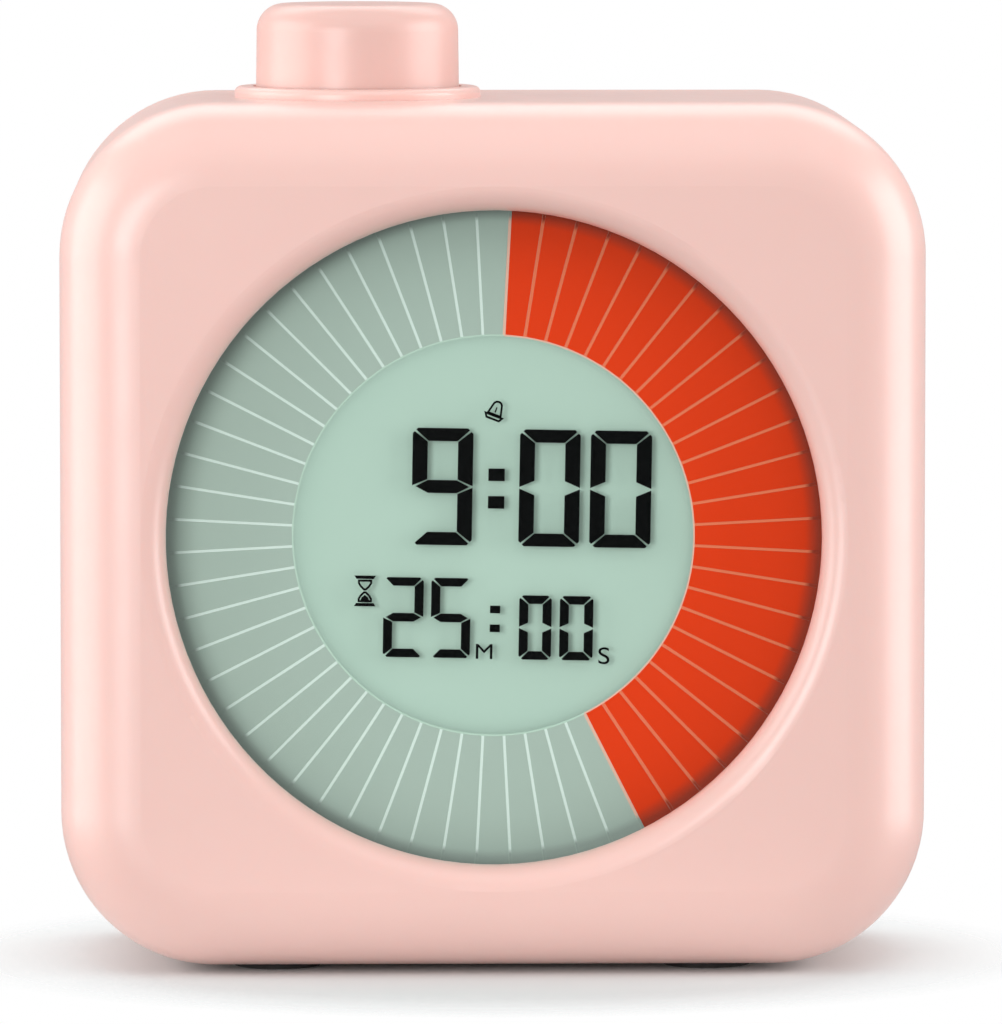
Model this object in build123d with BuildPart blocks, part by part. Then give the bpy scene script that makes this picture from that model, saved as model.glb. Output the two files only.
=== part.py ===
from build123d import *
from math import radians, sqrt, tan
import os

os.makedirs("parts", exist_ok=True)

# Countdown timer: a pink plastic case with a round display window, a push-and-turn knob on the top and the
# battery door, buttons and sound switch on the back. Millimetres, +Z up, the window faces -Y and the origin is
# under the middle of the case, on the plane that the feet stand on.

# Case
WINDOW_RADIUS = 30.2
FACE_BORDER = 9.8
CASE_DEPTH = 40.0
CORNER_RADIUS = 14.25
FRONT_EDGE_RADIUS = 7.5
BACK_EDGE_RADIUS = 3.5
WALL = 2.0
FRONT_WALL = 2.5
LIP_RADIUS = 2.3
COVER_DEPTH = 6.5
SEAM_CHAMFER = 0.3
TONGUE_LENGTH = 1.6
TONGUE_WALL = 1.0
TONGUE_GAP = 0.15
SEAL_SIZE = 1.0
SEAL_GAP = 0.05

# Feet
FOOT_PROUD = 0.6
FOOT_SEAT = 0.5
FOOT_RADIUS = 4.0
FOOT_GAP = 0.1
FOOT_SIDE_INSET = 20.0
FOOT_END_INSET = 12.0

# Case screws in the corners
SCREW_CORNER_GAP = 6.9
BOSS_RADIUS = 3.0
SCREW_RADIUS = 1.15
SCREW_HEAD_RADIUS = 2.3
SCREW_HEAD_HEIGHT = 1.6
SCREW_SINK = 2.4
SCREW_BITE = 8.0
PILOT_GAP = 0.05
HOLE_GAP = 0.2
GUSSET_THICKNESS = 1.2

# Display stack, front to back
TAPE_WIDTH = 1.5
TAPE_THICKNESS = 0.2
LENS_LAP = 1.8
LENS_THICKNESS = 1.2
GASKET_INSET = 0.5
GASKET_WIDTH = 0.9
GASKET_THICKNESS = 0.5
POLARISER_THICKNESS = 0.2
GLASS_MARGIN = 2.0
GLASS_CORNER_MARGIN = 2.7
GLASS_THICKNESS = 0.7
CELL_GAP = 0.3
CONTACT_LEDGE = 2.5
RING_WIDTH = 11.6
RING_THICKNESS = 0.2
RING_LINE = 0.28
MINUTES = 60
MINUTES_LEFT = 25
REFLECTOR_THICKNESS = 0.3
GUIDE_THICKNESS = 2.1
LED_WIDTH = 3.0
LED_DEPTH = 1.4
LED_HEIGHT = 1.2
LED_SPACING = 20.0
LED_GAP = 0.15
FRAME_GAP = 0.3
FRAME_WALL = 1.2
FRAME_FLOOR = 0.8
ZEBRA_WIDTH = 1.9
ZEBRA_LENGTH = 22.0

# Main board
BOARD_THICKNESS = 1.6
BOARD_SIDE_GAP = 3.0
BOARD_END_GAP = 2.0
BOARD_BOSS_RADIUS = 2.6
BOARD_BOSS_GAP = 0.35
BOARD_HOLE_INSET = 3.0
SMALL_SCREW_RADIUS = 0.95
SMALL_HEAD_RADIUS = 1.9
SMALL_HEAD_HEIGHT = 1.2
SMALL_BITE = 5.0
BLOB_RADIUS = 7.0
BLOB_HEIGHT = 1.6
BLOB_X = 9.0
BLOB_Z = -6.0

# Knob, its collar and the rotary encoder
KNOB_X = -12.4
KNOB_DEPTH_SHARE = 0.2375
KNOB_DRAFT = 0.12
KNOB_TOP = 8.7
KNOB_EDGE_RADIUS = 2.5
KNOB_WALL = 1.6
KNOB_GAP = 0.25
KNOB_TRAVEL = 0.6
COLLAR_WIDTH = 2.0
COLLAR_HEIGHT = 1.0
COLLAR_EDGE_RADIUS = 0.6
WELL_DEPTH = 1.4
WELL_FLOOR = 1.8
WELL_WALL = 1.6
SKIRT_GAP = 0.4
ENCODER_DEPTH_SHARE = 0.3
ENCODER_HEIGHT = 6.5
ENCODER_FLOOR = 2.4
ENCODER_ROOF = 1.2
ENCODER_END_WALL = 0.9
ENCODER_SIDE_WALL = 1.4
BUSHING_RADIUS = 3.5
BUSHING_LENGTH = 5.0
BUSHING_GAP = 0.15
SHAFT_RADIUS = 3.0
SHAFT_LENGTH = 10.0
SHAFT_FLAT = 1.5
SHAFT_FIT = 0.04
SPINDLE_RADIUS = 2.0
SPINDLE_FLAT = 1.3
ROTOR_GAP = 0.3
PIN_COUNT = 3
PIN_RADIUS = 0.4
PIN_PITCH = 2.5
PIN_LENGTH = 2.0
ENCODER_BOARD_GAP = 0.8
WASHER_RADIUS = 5.4
WASHER_THICKNESS = 0.4
NUT_FLATS = 10.0
NUT_HEIGHT = 2.0
KNOB_BOSS_RADIUS = 4.8
KNOB_BOSS_GAP = 0.3

# Battery bay and door
CELL_DIAMETER = 10.5
CELL_LENGTH = 44.5
CELL_NUB_RADIUS = 2.6
CELL_NUB_LENGTH = 0.9
CELL_EDGE_RADIUS = 0.5
CELL_PLAY = 0.8
CONTACT_SPACE = 4.2
CONTACT_THICKNESS = 0.4
CONTACT_HEIGHT = 9.0
CONTACT_GAP = 0.05
PAD_HEIGHT = 0.5
LEAF_WIDTH = 5.0
TAIL_WIDTH = 2.0
TAIL_LENGTH = 2.0
TAIL_GAP = 0.2
BAY_WALL = 1.4
BAY_Z = -16.5
DIVIDER_WIDTH = 0.4
DIVIDER_HEIGHT = 3.0
DOOR_THICKNESS = 1.8
DOOR_LAP = 1.7
DOOR_CORNER_RADIUS = 2.0
DOOR_INSET = 0.1
DOOR_GAP = 0.3
DOOR_RIM = 2.0
TAB_WIDTH = 7.0
TAB_SPACING = 30.0
TAB_REACH = 1.4
TAB_THICKNESS = 1.0
TAB_BITE = 0.5
TAB_GAP = 0.6
LATCH_WIDTH = 10.0
LATCH_WALL = 0.9
LATCH_DEPTH = 4.5
LATCH_SLOT = 1.2
LATCH_GAP = 0.9
GRIP_WIDTH = 10.0
GRIP_DEPTH = 0.5
GRIP_HEIGHT = 0.9
GRIP_PITCH = 1.8
GRIP_COUNT = 3
GRIP_TOP_GAP = 4.5

# Key board behind the back wall, with two buttons and the sound switch
KEY_X = -15.0
KEY_Z = 15.0
KEY_BOARD_WIDTH = 34.0
KEY_BOARD_HEIGHT = 20.0
KEY_BOARD_THICKNESS = 1.2
KEY_POST_RADIUS = 2.2
KEY_POST_SPACING = 30.0
KEY_POST_INSET = 4.0
KEY_DISH_DEPTH = 0.8
BUTTON_SPACING = 18.0
BUTTON_RISE = 5.0
BUTTON_RADIUS = 3.5
BUTTON_GAP = 0.25
BUTTON_SHY = 0.2
BUTTON_EDGE_RADIUS = 0.5
BUTTON_FLANGE_RADIUS = 4.5
BUTTON_FLANGE_THICKNESS = 0.8
BUTTON_REST_GAP = 0.1
BUTTON_TRAVEL = 0.5
BUTTON_DISH_MARGIN = 2.0
TACT_SIZE = 6.0
TACT_HEIGHT = 3.6
PLUNGER_RADIUS = 1.7
PLUNGER_PROUD = 1.3
PLUNGER_HIDDEN = 0.6
PLUNGER_GAP = 0.1
SLIDER_LENGTH = 4.0
SLIDER_HEIGHT = 3.4
SLIDER_TRAVEL = 2.0
SLIDER_GAP = 0.25
SLIDER_PLATE_MARGIN = 1.2
SLIDER_PLATE_THICKNESS = 0.8
SLIDER_STEM = 1.8
SLIDER_SHY = 0.2
SLIDER_EDGE_RADIUS = 0.3
SLIDER_DISH_MARGIN = 1.4
SWITCH_LENGTH = 9.0
SWITCH_HEIGHT = 4.4
SWITCH_DEPTH = 3.6
STEM_BITE = 1.0

# Buzzer and its grille
BUZZER_X = 16.0
BUZZER_Z = 15.0
BUZZER_RADIUS = 11.0
BUZZER_HEIGHT = 4.0
BUZZER_WALL = 1.0
BUZZER_GAP = 0.3
BUZZER_RIM = 3.0
DISC_THICKNESS = 0.4
DISC_LEDGE = 1.0
GRILLE_HOLE_RADIUS = 0.9
GRILLE_PITCH = 3.2
GRILLE_RINGS = 2

# Wiring
RIBBON_WIDTH = 8.0
RIBBON_THICKNESS = 0.3
RIBBON_BEND = 3.0
RIBBON_BAY_GAP = 3.75
RIBBON_Z = 1.0
RIBBON_END = 4.0
LEAD_RADIUS = 0.5
LEAD_BEND = 1.0
LEAD_STEP = 1.5
LEAD_LOOP = 3.0
ENCODER_LEAD_DROP = 4.0

# Places worked out from the sizes above
HALF = WINDOW_RADIUS + FACE_BORDER
SIDE = 2 * HALF
FRONT_Y = -CASE_DEPTH / 2
BACK_Y = CASE_DEPTH / 2
PARTING_Y = BACK_Y - COVER_DEPTH
COVER_INNER_Y = BACK_Y - WALL
FOOT_SPREAD = CASE_DEPTH - 2 * FOOT_END_INSET
MID_Z = FOOT_PROUD + HALF
TOP_Z = FOOT_PROUD + SIDE
INNER_SIDE = SIDE - 2 * WALL
INNER_RADIUS = CORNER_RADIUS - WALL
TONGUE_SIDE = INNER_SIDE - 2 * TONGUE_GAP
TONGUE_RADIUS = INNER_RADIUS - TONGUE_GAP
COVER_SIDE = TONGUE_SIDE - 2 * TONGUE_WALL
COVER_RADIUS = TONGUE_RADIUS - TONGUE_WALL
CORNER_REACH = (HALF - CORNER_RADIUS) * sqrt(2) + CORNER_RADIUS
SCREW_REACH = CORNER_REACH - SCREW_CORNER_GAP

TAPE_Y = FRONT_Y + FRONT_WALL
LENS_Y = TAPE_Y + TAPE_THICKNESS
GASKET_Y = LENS_Y + LENS_THICKNESS
POLARISER_Y = GASKET_Y + GASKET_THICKNESS
GLASS_Y = POLARISER_Y + POLARISER_THICKNESS
CELL_Y = GLASS_Y + GLASS_THICKNESS
REAR_GLASS_Y = CELL_Y + CELL_GAP
REFLECTOR_Y = REAR_GLASS_Y + GLASS_THICKNESS
GUIDE_Y = REFLECTOR_Y + REFLECTOR_THICKNESS
FLOOR_Y = GUIDE_Y + GUIDE_THICKNESS
BOARD_Y = FLOOR_Y + FRAME_FLOOR
BOARD_BACK_Y = BOARD_Y + BOARD_THICKNESS

GLASS_HALF = WINDOW_RADIUS + GLASS_MARGIN
GLASS_CORNER = WINDOW_RADIUS + GLASS_CORNER_MARGIN
FRAME_CORNER = GLASS_CORNER + FRAME_GAP + FRAME_WALL
ZEBRA_Z = -GLASS_HALF - CONTACT_LEDGE / 2
RING_INNER_RADIUS = WINDOW_RADIUS - RING_WIDTH
RING_OUTER_RADIUS = WINDOW_RADIUS + GASKET_INSET
MINUTE_ANGLE = 360 / MINUTES
RING_INNER_HALF = RING_INNER_RADIUS * tan(radians(MINUTE_ANGLE / 2)) - RING_LINE / 2
RING_OUTER_HALF = RING_OUTER_RADIUS * tan(radians(MINUTE_ANGLE / 2)) - RING_LINE / 2

BOARD_WIDTH = INNER_SIDE - 2 * BOARD_SIDE_GAP
BOARD_HEIGHT = INNER_SIDE - 2 * BOARD_END_GAP
BOARD_BOSS_X = BOARD_WIDTH / 2 - BOARD_HOLE_INSET
BOARD_BOSS_Z = (FRAME_CORNER + BOARD_BOSS_RADIUS + BOARD_BOSS_GAP) * sqrt(2) - BOARD_BOSS_X
BOARD_NOTCH = BOSS_RADIUS + BOARD_BOSS_GAP

KNOB_Y = 0.0
KNOB_RADIUS = KNOB_DEPTH_SHARE * CASE_DEPTH
COLLAR_RADIUS = KNOB_RADIUS + COLLAR_WIDTH
WELL_RADIUS = KNOB_RADIUS + KNOB_GAP
WELL_Z = TOP_Z - WELL_DEPTH
SHOULDER_Z = WELL_Z - WELL_FLOOR
KNOB_BOTTOM_Z = WELL_Z + KNOB_TRAVEL + SKIRT_GAP
KNOB_TOP_Z = TOP_Z + KNOB_TOP
ENCODER_SIZE = ENCODER_DEPTH_SHARE * CASE_DEPTH
ENCODER_Z = SHOULDER_Z - ENCODER_HEIGHT
ROTOR_CAVITY_Z = ENCODER_Z + ENCODER_FLOOR
ROOF_Z = SHOULDER_Z - ENCODER_ROOF
ROTOR_RADIUS = ENCODER_SIZE / 2 - ENCODER_SIDE_WALL - ROTOR_GAP
ROTOR_Z = ROTOR_CAVITY_Z + ROTOR_GAP
ROTOR_TOP_Z = ROOF_Z - ROTOR_GAP
BUSHING_TOP_Z = SHOULDER_Z + BUSHING_LENGTH
SHAFT_TOP_Z = SHOULDER_Z + SHAFT_LENGTH
SHAFT_STEP_Z = ROTOR_TOP_Z + KNOB_TRAVEL + SHAFT_FIT
SPINDLE_WELL_Z = ENCODER_Z + ENCODER_END_WALL
SPINDLE_Z = SPINDLE_WELL_Z + KNOB_TRAVEL + SHAFT_FIT
KNOB_BOSS_Z = BUSHING_TOP_Z + KNOB_TRAVEL + KNOB_BOSS_GAP
NUT_Z = WELL_Z + WASHER_THICKNESS
ENCODER_NOTCH = MID_Z + BOARD_HEIGHT / 2 - ENCODER_Z + ENCODER_BOARD_GAP
PIN_Z = ENCODER_Z - PIN_LENGTH

BAY_LENGTH = CELL_LENGTH + CONTACT_SPACE
CELL_PITCH = CELL_DIAMETER + CELL_PLAY
BAY_HEIGHT = CELL_PITCH + CELL_DIAMETER + CELL_PLAY
DOOR_WIDTH = BAY_LENGTH + 2 * DOOR_LAP
DOOR_HEIGHT = BAY_HEIGHT + 2 * DOOR_LAP
DOOR_OUTER_Y = BACK_Y - DOOR_INSET
DOOR_INNER_Y = DOOR_OUTER_Y - DOOR_THICKNESS
SEAT_Y = DOOR_INNER_Y - DOOR_INSET
SEAT_WIDTH = DOOR_WIDTH + 2 * DOOR_GAP
SEAT_HEIGHT = DOOR_HEIGHT + 2 * DOOR_GAP
BAY_FLOOR_Y = SEAT_Y - CELL_DIAMETER - CELL_PLAY
RIM_Y = SEAT_Y - DOOR_RIM
CELL_CENTRE_Y = BAY_FLOOR_Y + CELL_PLAY / 2 + CELL_DIAMETER / 2
DOOR_BOTTOM_Z = BAY_Z - DOOR_HEIGHT / 2
DOOR_TOP_Z = BAY_Z + DOOR_HEIGHT / 2
TAB_Y = SEAT_Y - TAB_BITE
TAB_DROP_Z = DOOR_BOTTOM_Z - TAB_REACH
LATCH_TOP_Z = DOOR_TOP_Z + LATCH_SLOT + LATCH_WALL
LATCH_INNER_Y = DOOR_OUTER_Y - LATCH_DEPTH

BUTTON_Z = KEY_Z + BUTTON_RISE
SLIDER_Z = KEY_Z - BUTTON_RISE
FLANGE_Y = COVER_INNER_Y - BUTTON_REST_GAP
PLUNGER_TOP_Y = FLANGE_Y - BUTTON_FLANGE_THICKNESS
TACT_TOP_Y = PLUNGER_TOP_Y - PLUNGER_PROUD
PLUNGER_Y = TACT_TOP_Y - PLUNGER_HIDDEN
PLUNGER_WELL_Y = PLUNGER_Y - BUTTON_TRAVEL - PLUNGER_GAP
KEY_BOARD_BACK_Y = TACT_TOP_Y - TACT_HEIGHT
KEY_BOARD_Y = KEY_BOARD_BACK_Y - KEY_BOARD_THICKNESS
KEY_POST_DROP = KEY_BOARD_HEIGHT / 2 - KEY_POST_INSET
KEY_POST_Z = KEY_Z - KEY_POST_DROP
SWITCH_TOP_Y = KEY_BOARD_BACK_Y + SWITCH_DEPTH
STEM_Y = SWITCH_TOP_Y - STEM_BITE
SLIDER_PLATE_Y = FLANGE_Y - SLIDER_PLATE_THICKNESS
SLIDER_SLOT_LENGTH = SLIDER_LENGTH + 2 * SLIDER_TRAVEL + 2 * SLIDER_GAP
SLIDER_SLOT_HEIGHT = SLIDER_HEIGHT + 2 * SLIDER_GAP
SLIDER_PLATE_LENGTH = SLIDER_SLOT_LENGTH + 2 * SLIDER_TRAVEL + SLIDER_PLATE_MARGIN
SLIDER_PLATE_HEIGHT = SLIDER_SLOT_HEIGHT + SLIDER_PLATE_MARGIN

CELL_Z = MID_Z + BAY_Z
CELL_SHIFT = CONTACT_SPACE / 2 - CONTACT_THICKNESS - PAD_HEIGHT - CONTACT_GAP
LEAF_REACH = CONTACT_SPACE / 2 + CELL_SHIFT - CONTACT_GAP
LEAF_HALF = CONTACT_HEIGHT / 2
LEAF_OUTLINE = (
    (0, -LEAF_HALF),
    (CONTACT_THICKNESS, -LEAF_HALF),
    (CONTACT_THICKNESS, LEAF_HALF - 2 * CONTACT_THICKNESS),
    (LEAF_REACH - 1.5 * CONTACT_THICKNESS, 0),
    (2 * CONTACT_THICKNESS, 2 * CONTACT_THICKNESS - LEAF_HALF),
    (3 * CONTACT_THICKNESS, CONTACT_THICKNESS - LEAF_HALF),
    (LEAF_REACH, 0),
    (CONTACT_THICKNESS, LEAF_HALF),
    (0, LEAF_HALF),
)
TAIL_Y = CELL_CENTRE_Y - CONTACT_HEIGHT / 2 + CONTACT_THICKNESS
KEY_BOARD_BOTTOM_Z = MID_Z + KEY_Z - KEY_BOARD_HEIGHT / 2
KEY_BOARD_EDGE_X = KEY_X + KEY_BOARD_WIDTH / 2
BAY_END_X = -BAY_LENGTH / 2 - BAY_WALL
RIBBON_X = BAY_END_X + RIBBON_BAY_GAP

BUZZER_Y = COVER_INNER_Y - BUZZER_HEIGHT
DISC_Y = COVER_INNER_Y - DISC_LEDGE - DISC_THICKNESS


def facing(y, x=0.0, z=0.0):
    """Plane at depth y as seen from the front, placed from the middle of the case."""
    return Plane((x, y, MID_Z + z), x_dir=(1, 0, 0), z_dir=(0, -1, 0))


def level(z):
    """Level plane at height z with its middle on the knob's axis."""
    return Plane((KNOB_X, KNOB_Y, z))


def side_on(x, z=0.0):
    """Plane across the case at x, with depth along its first axis and height along its second."""
    return Plane((x, 0, MID_Z + z), x_dir=(0, 1, 0), z_dir=(1, 0, 0))


def end_wall(end, row):
    """Plane on an end wall of the battery bay, facing into the bay, level with a row of the cells."""
    return Plane(
        (end * BAY_LENGTH / 2, CELL_CENTRE_Y, CELL_Z + row * CELL_PITCH / 2),
        x_dir=(0, 1, 0),
        z_dir=(-end, 0, 0),
    )


def leaf_plane(end):
    """Level plane through the flat end of a cell, with its first axis running into the bay."""
    return Plane(
        (end * BAY_LENGTH / 2, CELL_CENTRE_Y, CELL_Z - end * CELL_PITCH / 2),
        x_dir=(-end, 0, 0),
        z_dir=(0, 0, -end),
    )


def pane(width, top, bottom, corner):
    """Corner points of a pane whose corners are cut at 45 degrees, at a distance from the middle."""
    cut = corner * sqrt(2)
    right = [(cut - bottom, -bottom), (width, width - cut), (width, cut - width), (cut - top, top)]
    left = [(-x, z) for x, z in reversed(right)]
    return right + left


def finish(part, name):
    """Name a finished piece and write it to its own file."""
    part.label = name
    export_step(part, f"parts/{name}.step")


WINDOW_AXIS = Axis((0, 0, MID_Z), (0, 1, 0))
KNOB_AXIS = Axis((KNOB_X, KNOB_Y, 0), (0, 0, 1))

# Hollow of the front shell, rounded like the outside
with BuildPart() as shell_hollow:
    with BuildSketch(facing(PARTING_Y)):
        RectangleRounded(INNER_SIDE, INNER_SIDE, INNER_RADIUS)
    extrude(amount=PARTING_Y - TAPE_Y)
    fillet(shell_hollow.faces().sort_by(Axis.Y)[0].edges(), FRONT_EDGE_RADIUS - WALL)

# Front shell: one deep pillow-edged tub with the window, the knob collar and all the screw bosses
with BuildPart() as front_shell:
    with BuildSketch(facing(PARTING_Y)):
        RectangleRounded(SIDE, SIDE, CORNER_RADIUS)
    extrude(amount=PARTING_Y - FRONT_Y)
    fillet(front_shell.faces().sort_by(Axis.Y)[0].edges(), FRONT_EDGE_RADIUS)
    # The edge of the joint is broken here and on the cover, which leaves a fine groove round the case
    chamfer(front_shell.faces().sort_by(Axis.Y)[-1].edges(), SEAM_CHAMFER)
    add(shell_hollow.part, mode=Mode.SUBTRACT)
    with BuildSketch(facing(PARTING_Y)):
        RectangleRounded(INNER_SIDE + 2 * SEAL_SIZE, INNER_SIDE + 2 * SEAL_SIZE, INNER_RADIUS + SEAL_SIZE)
    extrude(amount=SEAL_SIZE, mode=Mode.SUBTRACT)
    # Bosses for the case screws, tied to the corners by gussets
    with BuildSketch(facing(PARTING_Y)):
        with PolarLocations(SCREW_REACH, 4, start_angle=45):
            Circle(BOSS_RADIUS)
    extrude(amount=PARTING_Y - TAPE_Y)
    with BuildSketch(facing(PARTING_Y - TONGUE_LENGTH - SEAL_SIZE)):
        with PolarLocations(SCREW_REACH + SCREW_CORNER_GAP / 2 - WALL / 4, 4, start_angle=45):
            Rectangle(SCREW_CORNER_GAP - WALL / 2, GUSSET_THICKNESS)
    extrude(amount=PARTING_Y - TONGUE_LENGTH - SEAL_SIZE - TAPE_Y - FRONT_EDGE_RADIUS)
    # Bosses for the main board
    with BuildSketch(facing(BOARD_Y)):
        with GridLocations(2 * BOARD_BOSS_X, 2 * BOARD_BOSS_Z, 2, 2):
            Circle(BOARD_BOSS_RADIUS)
    extrude(amount=BOARD_Y - TAPE_Y)
    with BuildSketch(facing(PARTING_Y)):
        with PolarLocations(SCREW_REACH, 4, start_angle=45):
            Circle(SCREW_RADIUS + PILOT_GAP)
    extrude(amount=SCREW_BITE + WALL, mode=Mode.SUBTRACT)
    with BuildSketch(facing(BOARD_Y)):
        with GridLocations(2 * BOARD_BOSS_X, 2 * BOARD_BOSS_Z, 2, 2):
            Circle(SMALL_SCREW_RADIUS + PILOT_GAP)
    extrude(amount=SMALL_BITE + WALL / 2, mode=Mode.SUBTRACT)
    # Window with a rounded lip
    with BuildSketch(Plane.XY.offset(MID_Z)):
        with BuildLine():
            lip = CenterArc((WINDOW_RADIUS + LIP_RADIUS, FRONT_Y + LIP_RADIUS), LIP_RADIUS, 180, 90)
            Polyline(
                lip @ 0,
                (WINDOW_RADIUS, TAPE_Y + WALL),
                (0, TAPE_Y + WALL),
                (0, FRONT_Y - WALL),
                (WINDOW_RADIUS + LIP_RADIUS, FRONT_Y - WALL),
                lip @ 1,
            )
        make_face()
    revolve(axis=WINDOW_AXIS, mode=Mode.SUBTRACT)
    # Collar and well of the knob
    with BuildSketch(level(SHOULDER_Z)):
        Circle(WELL_RADIUS + WELL_WALL)
    extrude(amount=TOP_Z - WALL / 2 - SHOULDER_Z)
    with BuildSketch(level(TOP_Z - WALL / 2)):
        Circle(COLLAR_RADIUS)
    extrude(amount=WALL / 2 + COLLAR_HEIGHT)
    fillet(front_shell.edges().filter_by(GeomType.CIRCLE).sort_by(Axis.Z)[-1], COLLAR_EDGE_RADIUS)
    with BuildSketch(level(WELL_Z)):
        Circle(WELL_RADIUS)
    extrude(amount=WELL_DEPTH + COLLAR_HEIGHT, mode=Mode.SUBTRACT)
    with BuildSketch(level(SHOULDER_Z)):
        Circle(BUSHING_RADIUS + BUSHING_GAP)
    extrude(amount=WELL_FLOOR, mode=Mode.SUBTRACT)
    # Shallow seats for the feet
    with BuildSketch(Plane.XY.offset(FOOT_PROUD)):
        with GridLocations(SIDE - 2 * FOOT_SIDE_INSET, FOOT_SPREAD, 2, 2):
            Circle(FOOT_RADIUS + FOOT_GAP)
    extrude(amount=FOOT_SEAT, mode=Mode.SUBTRACT)
finish(front_shell.part, "front_shell")

# Seal squeezed between the shell and the tongue of the rear cover
with BuildPart() as case_seal:
    with BuildSketch(facing(PARTING_Y - SEAL_GAP)):
        RectangleRounded(
            INNER_SIDE + 2 * (SEAL_SIZE - SEAL_GAP),
            INNER_SIDE + 2 * (SEAL_SIZE - SEAL_GAP),
            INNER_RADIUS + SEAL_SIZE - SEAL_GAP,
        )
        RectangleRounded(
            TONGUE_SIDE + 2 * SEAL_GAP,
            TONGUE_SIDE + 2 * SEAL_GAP,
            TONGUE_RADIUS + SEAL_GAP,
            mode=Mode.SUBTRACT,
        )
    extrude(amount=SEAL_SIZE - 2 * SEAL_GAP)
finish(case_seal.part, "case_seal")

# Hollow of the rear cover
with BuildPart() as cover_hollow:
    with BuildSketch(facing(COVER_INNER_Y)):
        RectangleRounded(COVER_SIDE, COVER_SIDE, COVER_RADIUS)
    extrude(amount=COVER_DEPTH - WALL + TONGUE_LENGTH)
    fillet(cover_hollow.faces().sort_by(Axis.Y)[-1].edges(), BACK_EDGE_RADIUS - WALL)

# Rear cover with the battery bay, the key dishes, the sound grille and the screw wells
with BuildPart() as rear_cover:
    with BuildSketch(facing(BACK_Y)):
        RectangleRounded(SIDE, SIDE, CORNER_RADIUS)
    extrude(amount=COVER_DEPTH)
    fillet(rear_cover.faces().sort_by(Axis.Y)[-1].edges(), BACK_EDGE_RADIUS)
    chamfer(rear_cover.faces().sort_by(Axis.Y)[0].edges(), SEAM_CHAMFER)
    with BuildSketch(facing(PARTING_Y)):
        RectangleRounded(TONGUE_SIDE, TONGUE_SIDE, TONGUE_RADIUS)
    extrude(amount=TONGUE_LENGTH)
    add(cover_hollow.part, mode=Mode.SUBTRACT)
    # The tongue is broken where the knob well hangs down
    with BuildSketch(facing(PARTING_Y, KNOB_X, TONGUE_SIDE / 2)):
        Rectangle(2 * (WELL_RADIUS + WELL_WALL + WALL), 2 * WELL_FLOOR + 2 * WELL_DEPTH)
    extrude(amount=TONGUE_LENGTH, mode=Mode.SUBTRACT)
    # Battery bay inside a stiff rim
    with BuildSketch(facing(COVER_INNER_Y, z=BAY_Z)):
        Rectangle(BAY_LENGTH + 2 * BAY_WALL, BAY_HEIGHT + 2 * BAY_WALL)
    extrude(amount=COVER_INNER_Y - BAY_FLOOR_Y + BAY_WALL)
    with BuildSketch(facing(COVER_INNER_Y, z=BAY_Z)):
        Rectangle(SEAT_WIDTH + 2 * BAY_WALL, SEAT_HEIGHT + 2 * BAY_WALL)
    extrude(amount=COVER_INNER_Y - RIM_Y)
    # Cover bosses, key posts and the buzzer rim
    with BuildSketch(facing(COVER_INNER_Y)):
        with PolarLocations(SCREW_REACH, 4, start_angle=45):
            Circle(BOSS_RADIUS)
    extrude(amount=COVER_INNER_Y - PARTING_Y)
    with BuildSketch(facing(COVER_INNER_Y, KEY_X, KEY_POST_Z)):
        with GridLocations(KEY_POST_SPACING, 0, 2, 1):
            Circle(KEY_POST_RADIUS)
    extrude(amount=COVER_INNER_Y - KEY_BOARD_BACK_Y)
    with BuildSketch(facing(COVER_INNER_Y, BUZZER_X, BUZZER_Z)):
        Circle(BUZZER_RADIUS + BUZZER_GAP + BUZZER_WALL)
        Circle(BUZZER_RADIUS + BUZZER_GAP, mode=Mode.SUBTRACT)
    extrude(amount=BUZZER_RIM)
    # Openings of the bay, the door's seat, its tab pockets and the latch notch
    with BuildSketch(facing(BACK_Y, z=BAY_Z)):
        Rectangle(BAY_LENGTH, BAY_HEIGHT)
    extrude(amount=BACK_Y - BAY_FLOOR_Y, mode=Mode.SUBTRACT)
    with BuildSketch(facing(BAY_FLOOR_Y + DIVIDER_HEIGHT, z=BAY_Z)):
        Rectangle(BAY_LENGTH - 2 * CONTACT_SPACE, DIVIDER_WIDTH)
    extrude(amount=DIVIDER_HEIGHT)
    with BuildSketch(facing(BACK_Y, z=BAY_Z)):
        RectangleRounded(SEAT_WIDTH, SEAT_HEIGHT, DOOR_CORNER_RADIUS + DOOR_GAP)
    extrude(amount=BACK_Y - SEAT_Y, mode=Mode.SUBTRACT)
    with BuildSketch(facing(SEAT_Y, z=(TAB_DROP_Z + DOOR_BOTTOM_Z + DOOR_LAP - TAB_GAP) / 2)):
        with GridLocations(TAB_SPACING, 0, 2, 1):
            Rectangle(TAB_WIDTH + 2 * TAB_GAP, DOOR_BOTTOM_Z + DOOR_LAP - TAB_DROP_Z + TAB_GAP)
    extrude(amount=DOOR_RIM, mode=Mode.SUBTRACT)
    with BuildSketch(facing(BACK_Y, z=(DOOR_TOP_Z - DOOR_LAP + LATCH_TOP_Z + LATCH_GAP) / 2)):
        Rectangle(LATCH_WIDTH + 2 * TAB_GAP, LATCH_TOP_Z + LATCH_GAP - DOOR_TOP_Z + DOOR_LAP)
    extrude(amount=BACK_Y - LATCH_INNER_Y + TAB_GAP, mode=Mode.SUBTRACT)
    # Slots for the solder tails
    with BuildSketch(end_wall(-1, 0)):
        with Locations((TAIL_Y - CELL_CENTRE_Y, 0)):
            with GridLocations(0, CELL_PITCH, 1, 2):
                Rectangle(CONTACT_THICKNESS + 2 * TAIL_GAP, TAIL_WIDTH + 2 * TAIL_GAP)
    extrude(amount=-BAY_WALL, mode=Mode.SUBTRACT)
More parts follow.
